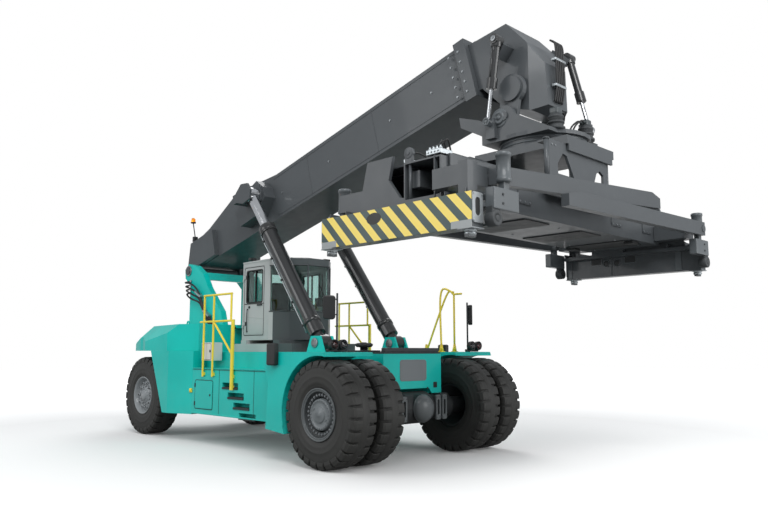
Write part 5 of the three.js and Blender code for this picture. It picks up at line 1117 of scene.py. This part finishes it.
STEPS, STEP_GOING, STEP_RISE, STEP_HALF = 4, 0.19, 0.175, 0.255
MAST_Y = 0.06                                   # the mirror masts, behind the fenders' front edge
for name, side in SIDES:
    skin = (1.6985, 1.7025)
    bm = bmesh.new()
    ringed(bm, rounded(3.87, 0.955, 0.66, 0.56, 0.05), rounded(3.87, 0.955, 0.636, 0.536, 0.04), "x",
           span_x(side, 1.6995, 1.703), 0.001)
    for y in (3.33, 2.2):
        side_block(bm, side, skin, (y - 0.005, y + 0.005), (0.62, 1.44), 0.001)
    side_block(bm, side, skin, (1.5, 4.28), (1.425, 1.433), 0.001)
    side_block(bm, side, (1.6985, 1.704), (3.6, 3.62), (0.93, 0.98), 0.002)
    piece(f"tank_seams_{name}", bm, SEAL_AND_HOLE_SHADE, "root")
    bm = bmesh.new()
    plate(bm, rounded(3.87, 0.955, 0.62, 0.52, 0.04), "x", span_x(side, 1.699, 1.7085), 0.004)
    side_block(bm, side, (1.39, 1.72), (1.47, 4.29), (1.447, 1.462), 0.005)
    side_block(bm, side, (1.66, 1.72), (1.6, 4.28), (0.585, 0.61), 0.005)
    piece(f"tank_hatch_{name}", bm, TEAL, "root")
    bm = bmesh.new()
    disc(bm, (side * 1.7083, 3.63, 0.955), (side, 0, 0), 0.022, 0.008, 20)
    for z in (0.78, 1.13):
        side_block(bm, side, (1.7, 1.716), (4.16, 4.2), (z - 0.04, z + 0.04), 0.005)
    piece(f"hatch_hardware_{name}", bm, PLASTIC_AND_OPENING_SHADE, "root")
    bm = bmesh.new()
    side_block(bm, side, (1.7, 1.73), (4.29, 4.37), (0.98, 1.06), 0.01)
    disc(bm, (side * 1.728, 4.33, 1.02), (side, 0, 0), 0.024, 0.014, 20)
    piece(f"stop_button_{name}", bm, YELLOW, "root")
    # Steps: folded treads with round grip holes, standing in the openings of the tank.
    bm = bmesh.new()
    for i in range(1, STEPS + 1):
        y, z = 3.15 - i * STEP_GOING, 1.38 - i * STEP_RISE
        tread = (y - STEP_HALF, y + STEP_HALF)
        side_block(bm, side, (1.56, 1.715), tread, (z - 0.1, z - 0.082))
        side_block(bm, side, (1.7, 1.715), tread, (z - 0.118, z - 0.09), 0.003)
        for row in range(3):
            for k in range(9):
                spot = (side * (1.59 + 0.045 * row), y - 0.22 + 0.055 * k, z - 0.083)
                turned(bm, [(0, 0.011), (0, 0.016), (0.006, 0.014), (0.006, 0.011)], spot, (0, 0, 1), 8)
    piece(f"steps_{name}", bm, DECK, "root")
    # Fender: rolled lip, the round lamps on its front end, and the mirrors.
    bm = bmesh.new()
    arc = [(side * 2.058, math.cos(a) * 0.895, TYRE_R + math.sin(a) * 0.895)
           for a in (math.radians(d) for d in range(-16, 97, 7))]
    tube(bm, arc, 0.013, 8, True, 2)
    side_block(bm, side, (1.04, 2.06), (-0.142, -0.128), (1.70, 1.766), 0.006)
    piece(f"fender_lip_{name}", bm, TEAL, "root")
    bm = bmesh.new()
    for dx in (-0.095, 0.095):
        lamp_at = (side * (1.7 + dx), -0.03, 1.885)
        turned(bm, [(0, 0), (0, 0.055), (0.03, 0.078), (0.1, 0.084), (0.11, 0.078), (0.11, 0.07), (0.1, 0.066),
                    (0.1, 0)], (lamp_at[0], lamp_at[1] + 0.05, lamp_at[2]), (0, -1, 0), 28)
    block(bm, (side * 1.7 - 0.17, -0.01, 1.775), (side * 1.7 + 0.17, 0.05, 1.82), 0.01)
    piece(f"lamp_shells_{name}", bm, PLASTIC_AND_OPENING_SHADE, "root")
    for kind, dx, finish in (("clear", -0.095 * side, LENS), ("signal", 0.095 * side, RED)):
        bm = bmesh.new()
        turned(bm, [(0, 0), (0, 0.064), (0.008, 0.06), (0.016, 0.04), (0.018, 0)],
               (side * 1.7 + dx, -0.078, 1.885), (0, -1, 0), 28)
        piece(f"lamp_{kind}_{name}", bm, finish, "root")
    bm = bmesh.new()
    mast = side * 1.63
    tube(bm, [(mast, MAST_Y, DECK_TOP), (mast, MAST_Y, 2.7)], 0.016, 10, False)
    disc(bm, (mast, MAST_Y, DECK_TOP), (0, 0, 1), 0.045, 0.014, 20)
    for z in (2.36, 2.6):
        tube(bm, [(mast, MAST_Y, z), (mast + side * 0.09, 0.03, z)], 0.01, 8, False)
    piece(f"mirror_mast_{name}", bm, DARK, "root")
    bm = bmesh.new()
    towards_driver = Matrix.Rotation(side * math.radians(38), 3, "Z")
    plate(bm, rounded(mast + side * 0.13, 2.47, 0.2, 0.38, 0.05), "y", (-0.035, 0.045), 0.02)
    bmesh.ops.rotate(bm, verts=bm.verts, cent=(mast, MAST_Y, 0), matrix=towards_driver)
    piece(f"mirror_shell_{name}", bm, PLASTIC_AND_OPENING_SHADE, "root")
    bm = bmesh.new()
    plate(bm, rounded(side * 2.12, 1.735, 0.1, 0.36, 0.03), "y", (0.98, 1.2), 0.03)
    side_block(bm, side, (2.03, 2.1), (1.05, 1.1), (1.72, 1.75), 0.006)
    piece(f"fender_mirror_{name}", bm, PLASTIC_AND_OPENING_SHADE, "root")
    bm = bmesh.new()
    plate(bm, rounded(mast + side * 0.13, 2.47, 0.175, 0.35, 0.04), "y", (0.0452, 0.0475), 0)
    bmesh.ops.rotate(bm, verts=bm.verts, cent=(mast, MAST_Y, 0), matrix=towards_driver)
    piece(f"mirror_glass_{name}", bm, MIRROR, "root")
    # Feet of the lift cylinders: pin caps and keeper bolts.
    for x_at, facing in ((side * 1.083, side), (side * 0.757, -side)):
        bm = bmesh.new()
        disc(bm, (x_at, LIFT_FOOT_Y, LIFT_FOOT_Z), (facing, 0, 0), 0.085, 0.016, 32, 0.004)
        bolt_circle(bm, (x_at + facing * 0.016, LIFT_FOOT_Y, LIFT_FOOT_Z), (facing, 0, 0), 0.055, 0.022,
                    (0.8, 2.4, 3.9, 5.5))
        which = "out" if facing == side else "in"
        piece(f"foot_pin_{which}_{name}", bm, STEEL_BOLT, "root")

# Grab rails at the front left step: bent tube on welded feet.
bm = bmesh.new()
tube(bm, [(1.12, 0.27, DECK_TOP), (1.12, 0.27, 2.86), (1.12, -0.04, 2.86)], 0.019, 12, True, 8)
tube(bm, [(1.58, 1.06, DECK_TOP), (1.58, 0.53, 2.85), (1.58, 0.34, 2.87), (1.58, 0.15, 2.87)], 0.019, 12, True, 8)
tube(bm, [(1.58, 0.34, DECK_TOP), (1.58, 0.34, 2.87)], 0.019, 12, False)
for x, y in ((1.12, 0.27), (1.58, 1.06), (1.58, 0.34)):
    block(bm, (x - 0.05, y - 0.05, 1.768), (x + 0.05, y + 0.05, 1.782), 0.004)
    turned(bm, [(0, 0.02), (0, 0.045), (0.14, 0.021)], (x, y, 1.78), (0, 0, 1), 16)
piece("step_rails", bm, YELLOW, "root")

# Front plate: blank grey panel, four holes drawn as black plates of painted shade, and below it the bolted axle
# castings and the hub dome.
bm = bmesh.new()
plate(bm, rounded(0, 1.46, 0.66, 0.36, 0.05), "y", (-0.0655, -0.0605), 0.002)
piece("front_blank_panel", bm, RIM, "root")
bm = bmesh.new()
# Black plates of painted shade in the four holes.
for sx in (-1, 1):
    plate(bm, rounded(sx * 0.56, 1.2, 0.1, 0.1, 0.015), "y", (-0.0615, -0.0605), 0)
    plate(bm, rounded(sx * 0.36, 1.15, 0.036, 0.036, 0.018, 4), "y", (-0.0615, -0.0605), 0)
piece("front_plate_holes", bm, SEAL_AND_HOLE_SHADE, "root")
bm = bmesh.new()
for sx in (-1, 1):
    for dx in (0.42, 0.58):
        middle = sx * dx
        ringed(bm, rounded(middle, 0.83, 0.12, 0.42, 0.03), rounded(middle, 0.83, 0.05, 0.26, 0.02), "y",
               (-0.262, -0.222), 0.005)
studs(bm, [((sx * dx + ex, -0.262, z), (0, -1, 0)) for sx in (-1, 1) for dx in (0.42, 0.58) for ex in (-0.04, 0.04)
           for z in (0.66, 1.0)], 0.02)
turned(bm, [(0, 0.205), (0, 0.235), (0.02, 0.235), (0.024, 0.225), (0.024, 0.205)], (0, -0.27, TYRE_R), (0, -1, 0), 64)
bolt_circle(bm, (0, -0.294, TYRE_R), (0, -1, 0), 0.217, 0.018, round_steps(20))
disc(bm, (0, -0.405, TYRE_R), (0, -1, 0), 0.03, 0.02, 6, 0.002)
piece("axle_castings", bm, AXLE_PALE, "root")
bm = bmesh.new()
turned(bm, [(0, 0), (0, 0.23), (0.04, 0.225), (0.08, 0.2), (0.12, 0.155), (0.145, 0.1), (0.155, 0.05), (0.157, 0)],
       (0, -0.27, TYRE_R), (0, -1, 0), 64)
piece("axle_dome", bm, AXLE_PALE, "root")

# Deck: plate seams, the bar across the front, the filler cap on its plinth, and the grip pattern.
bm = bmesh.new()
for y in (0.9, 1.9):
    block(bm, (-0.66, y - 0.006, 1.7705), (0.66, y + 0.006, 1.7745), 0.001)
block(bm, (-0.66, -0.045, 1.771), (0.68, 0.05, 1.84), 0.01)
for x in (-0.5, 0, 0.5):
    block(bm, (x - 0.02, 0.05, 1.771), (x + 0.02, 0.2, 1.8), 0.006)
plate(bm, rounded(-0.4, 0.75, 0.5, 0.42, 0.08), "z", (1.771, 1.8), 0.008)
piece("deck_fittings", bm, DARK, "root")
bm = bmesh.new()
turned(bm, [(0, 0), (0, 0.07), (0.05, 0.07), (0.055, 0.13), (0.07, 0.145), (0.11, 0.145), (0.125, 0.13), (0.13, 0.05),
            (0.14, 0.04), (0.14, 0)], (-0.4, 0.75, 1.8), (0, 0, 1), 40)
for a in round_steps(10):
    x, y = -0.4 + math.cos(a) * 0.142, 0.75 + math.sin(a) * 0.142
    block(bm, (x - 0.012, y - 0.012, 1.875), (x + 0.012, y + 0.012, 1.915), 0.004)
piece("filler_cap", bm, PLASTIC_AND_OPENING_SHADE, "root")
bm = bmesh.new()
grip = [((x + (0.03 if k % 2 else 0), y, 1.7702), (0, 0, 1))
        for k, y in enumerate(1.0 + 0.075 * j for j in range(15)) for x in (-0.6 + 0.06 * i for i in range(20))]
studs(bm, grip, 0.012)
piece("deck_grip", bm, DECK, "root")

# Tower: foot pin caps, four hoses in clamps at its rear edge, and the white cabinet beside the rails.
for name, side in SIDES:
    bm = bmesh.new()
    disc(bm, (side * 0.7505, FOOT_PIN_Y, FOOT_PIN_Z), (side, 0, 0), 0.12, 0.02, 36, 0.005)
    bolt_circle(bm, (side * 0.7705, FOOT_PIN_Y, FOOT_PIN_Z), (side, 0, 0), 0.085, 0.026, round_steps(6))
    piece(f"boom_foot_cap_{name}", bm, STEEL_BOLT, "root")
bm = bmesh.new()
for i in range(4):
    x, z = -0.785, 3.28 - 0.09 * i
    tube(bm, [(x + 0.05, 6.13, z + 0.08), (x - 0.02, 6.3 - 0.03 * i, z + 0.05), (x - 0.04, 6.0, z - 0.02 * i),
              (x - 0.03, 5.72 - 0.03 * i, z - 0.18), (x - 0.028, 5.5 - 0.045 * i, z - 0.5),
              (x - 0.026, 5.36 - 0.05 * i, 2.5), (x - 0.02, 5.2 - 0.055 * i, 2.34), (x + 0.03, 5.08 - 0.06 * i, 2.31)],
         0.019, 10, True, 8)
piece("tower_hoses", bm, HOSE, "root")
bm = bmesh.new()
for y, z in ((5.78, 3.04), (5.42, 2.6)):
    block(bm, (-0.845, y - 0.2, z - 0.02), (-0.752, y + 0.06, z + 0.02), 0.008, Matrix.Rotation(0.5, 3, "X"))
for i in range(4):
    disc(bm, (-0.755, 6.13, 3.355 - 0.09 * i), (-1, 0, 0), 0.03, 0.03, 16)
piece("hose_clamps", bm, STEEL, "root")
bm = bmesh.new()
block(bm, (-1.68, 3.66, 1.6), (-1.44, 4.04, 1.95), 0.02)
piece("side_cabinet", bm, CAB_WHITE, "root")
bm = bmesh.new()
ringed(bm, rounded(3.85, 1.775, 0.34, 0.31, 0.03), rounded(3.85, 1.775, 0.33, 0.3, 0.025), "x", (-1.6825, -1.6795), 0)
block(bm, (-1.69, 3.7, 1.76), (-1.68, 3.73, 1.81), 0.003)
piece("cabinet_seam", bm, SEAL_AND_HOLE_SHADE, "root")

# Hood: lifting eyes, louvres and panel seams, then the tail lamps and the grille between them.
bm = bmesh.new()
for x in (-1.15, 1.15):
    tube(bm, [(x, 5.47, 2.32), (x, 5.47, 2.38), (x, 5.51, 2.42), (x, 5.55, 2.38), (x, 5.55, 2.32)], 0.016, 10)
piece("lifting_eyes", bm, TEAL, "root")
bm = bmesh.new()
for x in (-0.45, 0.45):
    for i in range(12):
        block(bm, (x - 0.3, 4.98 + 0.075 * i, 2.331), (x + 0.3, 5.02 + 0.075 * i, 2.348), 0.006)
    ringed(bm, rounded(x, 5.42, 0.68, 0.98, 0.03), rounded(x, 5.42, 0.62, 0.92, 0.02), "z", (2.3305, 2.352), 0.004)
piece("hood_louvres", bm, DARK, "root")
bm = bmesh.new()
block(bm, (-1.38, 6.553, 2.3302), (1.38, 6.566, 2.3325), 0)
block(bm, (-0.006, 6.0, 2.3302), (0.006, 6.55, 2.3325), 0)
piece("hood_seams", bm, SEAL_AND_HOLE_SHADE, "root")
for name, side in SIDES:
    bm = bmesh.new()
    plate(bm, rounded(side * 0.62, 1.95, 0.34, 0.12, 0.04), "y", (7.985, 8.04), 0.01)
    piece(f"tail_shell_{name}", bm, PLASTIC_AND_OPENING_SHADE, "root")
    for kind, dx, finish in (("red", 0.1, RED), ("amber", 0.0, AMBER), ("clear", -0.1, LENS)):
        bm = bmesh.new()
        plate(bm, rounded(side * (0.62 + dx), 1.95, 0.085, 0.085, 0.02), "y", (8.038, 8.05), 0.003)
        piece(f"tail_{kind}_{name}", bm, finish, "root")
bm = bmesh.new()
for i in range(9):
    block(bm, (-0.42, 7.99, 1.83 + 0.04 * i), (0.42, 8.052, 1.85 + 0.04 * i), 0.004)
piece("tail_grille", bm, DARK, "root")

# ---------------------------------------------------------------- boom

ANGLE = math.radians(14.45)
FOOT = Vector((0, FOOT_PIN_Y, FOOT_PIN_Z))
AHEAD = Vector((0, -math.cos(ANGLE), math.sin(ANGLE)))
UPRIGHT = Vector((0, math.sin(ANGLE), math.cos(ANGLE)))


def on_boom(x, along, up):
    """A point on the boom from its distance ahead of the foot pin and its height over that line."""
    return Vector((x, 0, 0)) + FOOT + AHEAD * along + UPRIGHT * up


def boom_bar(bm, x, along, up, round_by=0.004):
    """A bar square to the boom."""
    verts_before = set(bm.verts)
    block(bm, (x[0], -along[1], up[0]), (x[1], -along[0], up[1]), round_by)
    new = [v for v in bm.verts if v not in verts_before]
    bmesh.ops.rotate(bm, verts=new, cent=(0, 0, 0), matrix=Matrix.Rotation(-ANGLE, 3, "X"))
    bmesh.ops.translate(bm, verts=new, vec=FOOT)


bm = bmesh.new()
for side in (-1, 1):
    face = span_x(side, 0.499, 0.506)
    for along in (4.3, 6.2):
        boom_bar(bm, face, (along - 0.006, along + 0.006), (0.1, 0.97), 0.002)
    boom_bar(bm, face, (3.2, 8.2), (0.13, 0.138), 0.002)
    boom_bar(bm, face, (3.2, 8.2), (0.93, 0.938), 0.002)
boom_bar(bm, (-0.47, 0.47), (7.0, 7.5), (1.0, 1.012))
boom_bar(bm, (-0.1, 0.1), (3.35, 6.8), (1.0, 1.05), 0.01)
for along in (3.8, 5.0, 6.2):
    boom_bar(bm, (-0.14, 0.14), (along - 0.03, along + 0.03), (1.0, 1.066))
piece("boom_seams", bm, BOOM, "boom")
bm = bmesh.new()
spots = []
for side in (-1, 1):
    for along in (8.13, 8.33):
        spots += [(on_boom(side * 0.56, along, up), (side, 0, 0)) for up in (0.16, 0.34, 0.52, 0.7, 0.88)]
    spots += [(on_boom(side * 0.5, along, 0.55), (side, 0, 0)) for along in (3.4, 4.9, 6.6, 7.6)]
studs(bm, [(tuple(p), f) for p, f in spots], 0.036)
piece("boom_bolts", bm, STEEL_BOLT, "boom")
bm = bmesh.new()
for i in range(4):
    x = -0.06 + 0.04 * i
    tube(bm, [on_boom(x, 3.2, 0.98), on_boom(x, 3.5, 1.07), on_boom(x, 4.0, 1.07), on_boom(x, 6.7, 1.07),
              on_boom(x, 7.0, 1.02)], 0.014, 8, True, 6)
piece("boom_hoses", bm, HOSE, "boom")
bm = bmesh.new()
mast = on_boom(-0.52, 0.03, 0.86)
block(bm, (mast.x - 0.04, mast.y - 0.03, mast.z - 0.12), (mast.x + 0.06, mast.y + 0.05, mast.z), 0.008)
tube(bm, [mast, mast + Vector((-0.03, 0.05, 0.32))], 0.012, 8, False)
disc(bm, mast + Vector((-0.03, 0.05, 0.32)), (0, 0, 1), 0.06, 0.03, 24)
piece("beacon_mast", bm, PLASTIC_AND_OPENING_SHADE, "boom")
bm = bmesh.new()
turned(bm, [(0, 0), (0, 0.05), (0.07, 0.046), (0.09, 0.035), (0.1, 0)], mast + Vector((-0.03, 0.05, 0.35)),
       (0, 0, 1), 24)
piece("beacon", bm, AMBER, "boom")

# ---------------------------------------------------------------- cylinders

BASE, EYE = Vector((0, LIFT_FOOT_Y, LIFT_FOOT_Z)), Vector((0, 3.58, 4.94))
RUN_UP = (EYE - BASE).normalized()
FRONT_OF = Vector((0, -RUN_UP.z, RUN_UP.y))
# The tilt cylinders differ: where the top pin and the rod's eye are, as (y, z), and the barrel's length.
TILT = {"right": ((-2.53, 6.37), (-2.34, 5.15), 0.74), "left": ((-2.79, 6.46), (-3.11, 5.2), 0.8)}
for name, side in SIDES:
    middle = Vector((side * 0.92, 0, 0)) + BASE
    bm = bmesh.new()
    turned(bm, [(2.72, 0.148), (2.72, 0.168), (2.74, 0.172), (2.845, 0.172), (2.855, 0.164), (2.856, 0.14),
                (2.862, 0.118), (2.862, 0.104), (2.83, 0.104), (2.83, 0.148)], middle, RUN_UP, 56)
    turned(bm, [(0.42, 0.149), (0.42, 0.16), (0.5, 0.16), (0.505, 0.149)], middle, RUN_UP, 56)
    piece(f"lift_gland_{name}", bm, CYLINDER, f"lift_barrel_{name}")
    bm = bmesh.new()
    back = -FRONT_OF
    for k in (-1, 1):
        off = back * 0.172 + Vector((side * 0.03 + 0.03 * k, 0, 0))
        tube(bm, [middle + off + RUN_UP * 0.36, middle + off + RUN_UP * 2.6,
                  middle + off * 0.9 + RUN_UP * 2.72, middle + off * 0.8 + RUN_UP * 2.8], 0.015, 12, True, 8)
    piece(f"lift_pipes_{name}", bm, STEEL, f"lift_barrel_{name}")
    bm = bmesh.new()
    for distance in (0.5, 1.05, 1.6, 2.15, 2.6):
        holder = middle + RUN_UP * (distance + 0.02) + back * 0.172 + Vector((side * 0.03, 0, 0))
        disc(bm, holder - Vector((0.055, 0, 0)), (1, 0, 0), 0.026, 0.11, 16, 0.006)
    piece(f"pipe_clamps_{name}", bm, PLASTIC_AND_OPENING_SHADE, f"lift_barrel_{name}")
    bm = bmesh.new()
    top_pin, eye_pin, length = TILT[name]
    top, foot = Vector((side * 0.79, *top_pin)), Vector((side * 0.79, *eye_pin))
    run = (foot - top).normalized()
    turned(bm, [(length - 0.09, 0.06), (length - 0.09, 0.07), (length - 0.005, 0.07), (length + 0.002, 0.064),
                (length + 0.004, 0.036), (length - 0.03, 0.032), (length - 0.03, 0.06)], top, run, 36)
    tube(bm, [top + run * 0.16 + Vector((side * 0.07, 0, 0)), top + run * (length - 0.1) + Vector((side * 0.07, 0, 0))],
         0.009, 8, False)
    piece(f"tilt_gland_{name}", bm, CYLINDER, f"tilt_barrel_{name}")
    bm = bmesh.new()
    disc(bm, top + Vector((side * 0.087, 0, 0)), (side, 0, 0), 0.045, 0.014, 24)
    studs(bm, [(tuple(top + Vector((side * 0.101, 0, 0))), (side, 0, 0))], 0.03)
    piece(f"tilt_pin_cap_{name}", bm, STEEL_BOLT, f"tilt_barrel_{name}")
    low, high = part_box(f"tilt_rod_{name}")
    bm = bmesh.new()
    outer_face = Vector(((low.x if side < 0 else high.x) - HOME.x + side * 0.0005, foot.y, foot.z))
    turned(bm, [(0, 0.03), (0, 0.064), (0.006, 0.064), (0.01, 0.058), (0.01, 0.03)], outer_face, (side, 0, 0), 36)
    disc(bm, outer_face, (side, 0, 0), 0.028, 0.016, 6, 0.002)
    piece(f"tilt_eye_washer_{name}", bm, BOOM_PALE, f"tilt_rod_{name}")

# Hanger pins: stepped caps on the yoke's outer lugs.
bm = bmesh.new()
for x, facing in ((-0.648, -1), (0.648, 1)):
    turned(bm, [(0, 0), (0, 0.14), (0.02, 0.145), (0.035, 0.14), (0.04, 0.12), (0.04, 0.1), (0.05, 0.098),
                (0.062, 0.09), (0.066, 0.06), (0.05, 0.056), (0.05, 0.03), (0.066, 0.028), (0.068, 0)],
           (x, -2.47, 5.21), (facing, 0, 0), 48)
piece("hanger_pin_ends", bm, BOOM_PALE, "rotator")

# Head: bolted caps on the hanger plates, and the hose bundle down the front in its clamps.
bm = bmesh.new()
for side in (-1, 1):
    x = side * 0.5905
    disc(bm, (x, HANGER_Y, HANGER_Z), (side, 0, 0), 0.12, 0.018, 40, 0.005)
    bolt_circle(bm, (x + side * 0.018, HANGER_Y, HANGER_Z), (side, 0, 0), 0.085, 0.026, round_steps(8))
piece("hanger_pin_caps", bm, STEEL_BOLT, "rotator")
bm = bmesh.new()
for i in range(5):
    x = -0.12 + 0.05 * i
    tube(bm, [(x, -3.02, 6.42), (x, -3.1, 6.34), (x, -3.115, 6.1), (x + 0.01, -3.11, 5.7), (x, -3.07, 5.45)], 0.015, 8)
piece("head_hoses", bm, HOSE, "inner_boom")
bm = bmesh.new()
for z in (6.1, 5.7):
    block(bm, (-0.16, -3.13, z - 0.02), (0.13, -3.05, z + 0.02), 0.008)
piece("head_hose_clamps", bm, STEEL, "inner_boom")

# ---------------------------------------------------------------- stage, light and camera

FLOOR_TONE = paint_colour("#f6f6f5")


def flat(name, corners, tint):
    """A stage surface that is white to the eye and to what reflects it, and holds shadows."""
    mesh = bpy.data.meshes.new(name)
    mesh.from_pydata(corners, [], [(0, 1, 2, 3)])
    made = bpy.data.objects.new(name, mesh)
    bpy.context.collection.objects.link(made)
    mesh.materials.append(tint)
    return made


floor_paper, tree, shader, spot = new_material("floor_paper", Roughness=0.9)
rays = add(tree, "ShaderNodeLightPath")
seen = add(tree, "ShaderNodeMath", {0: rays.outputs["Is Camera Ray"], 1: rays.outputs["Is Glossy Ray"]},
           operation="MAXIMUM").outputs[0]
paper = add(tree, "ShaderNodeMix", {"Factor": rays.outputs["Is Camera Ray"], 6: paint_colour("#8f8f8e"),
                                    7: FLOOR_TONE}, data_type="RGBA").outputs[2]
tree.links.new(paper, shader.inputs["Base Color"])
where = add(tree, "ShaderNodeTexCoord")
away = add(tree, "ShaderNodeVectorMath", {0: where.outputs["Object"]}, operation="LENGTH").outputs["Value"]
# The floor shades into the backdrop between 9 and 24 m from the truck.
glow = add(tree, "ShaderNodeMapRange", {"Value": away, "From Min": 9.0, "From Max": 24.0,
                                        "To Min": 0.05, "To Max": 1.0})
lit = add(tree, "ShaderNodeMath", {0: seen, 1: glow.outputs["Result"]}, operation="MULTIPLY").outputs[0]
tree.links.new(lit, shader.inputs["Emission Strength"])
shader.inputs["Emission Color"].default_value = (1, 1, 1, 1)
EDGE = 60
flat("floor", [(-EDGE, -EDGE, 0), (EDGE, -EDGE, 0), (EDGE, EDGE, 0), (-EDGE, EDGE, 0)], floor_paper)

world = bpy.data.worlds.new("studio")
bpy.context.scene.world = world
world.use_nodes = True
tree = world.node_tree
tree.nodes.clear()
rays = add(tree, "ShaderNodeLightPath")
seen = add(tree, "ShaderNodeMath", {0: rays.outputs["Is Camera Ray"], 1: rays.outputs["Is Transmission Ray"]},
           operation="MAXIMUM").outputs[0]
soft = add(tree, "ShaderNodeBackground", {"Color": (0.93, 0.96, 1, 1), "Strength": 0.5})
white = add(tree, "ShaderNodeBackground", {"Color": (1, 1, 1, 1), "Strength": 1.0})
mixed = add(tree, "ShaderNodeMixShader", {0: seen, 1: soft.outputs[0], 2: white.outputs[0]})
out = add(tree, "ShaderNodeOutputWorld", {0: mixed.outputs[0]})

for label, spot_at, size, power, aim in [
    ("key_light", (-9, -13, 15), 9, 2100, (0, 0, 2)),
    ("front_light", (5, -17, 7), 10, 1100, (0, 0, 2)),
    ("fill_light", (-16, 6, 9), 10, 850, (0, 2, 2)),
    ("rim_light", (10, 10, 14), 9, 900, (0, 0, 3)),
]:
    lamp = bpy.data.lights.new(label, "AREA")
    lamp.size, lamp.energy = size, power
    holder = bpy.data.objects.new(label, lamp)
    holder.location = spot_at
    holder.rotation_euler = (Vector(aim) - Vector(spot_at)).to_track_quat("-Z", "Y").to_euler()
    bpy.context.collection.objects.link(holder)

EYE_AT = (-9.242, -8.725, 1.794)                # from the truck's own origin
PITCH_UP, HEADING = math.radians(97.380), math.radians(-44.576)
lens = bpy.data.cameras.new("camera")
lens.sensor_width, lens.lens, lens.clip_end = 36, 34.233, 400
camera = bpy.data.objects.new("camera", lens)
camera.location = place(*EYE_AT)
camera.rotation_euler = (PITCH_UP, 0, HEADING)
bpy.context.collection.objects.link(camera)
bpy.context.scene.camera = camera
bpy.context.scene.view_settings.view_transform = "Standard"

for item in ITEMS.values():
    bpy.data.objects.remove(item)
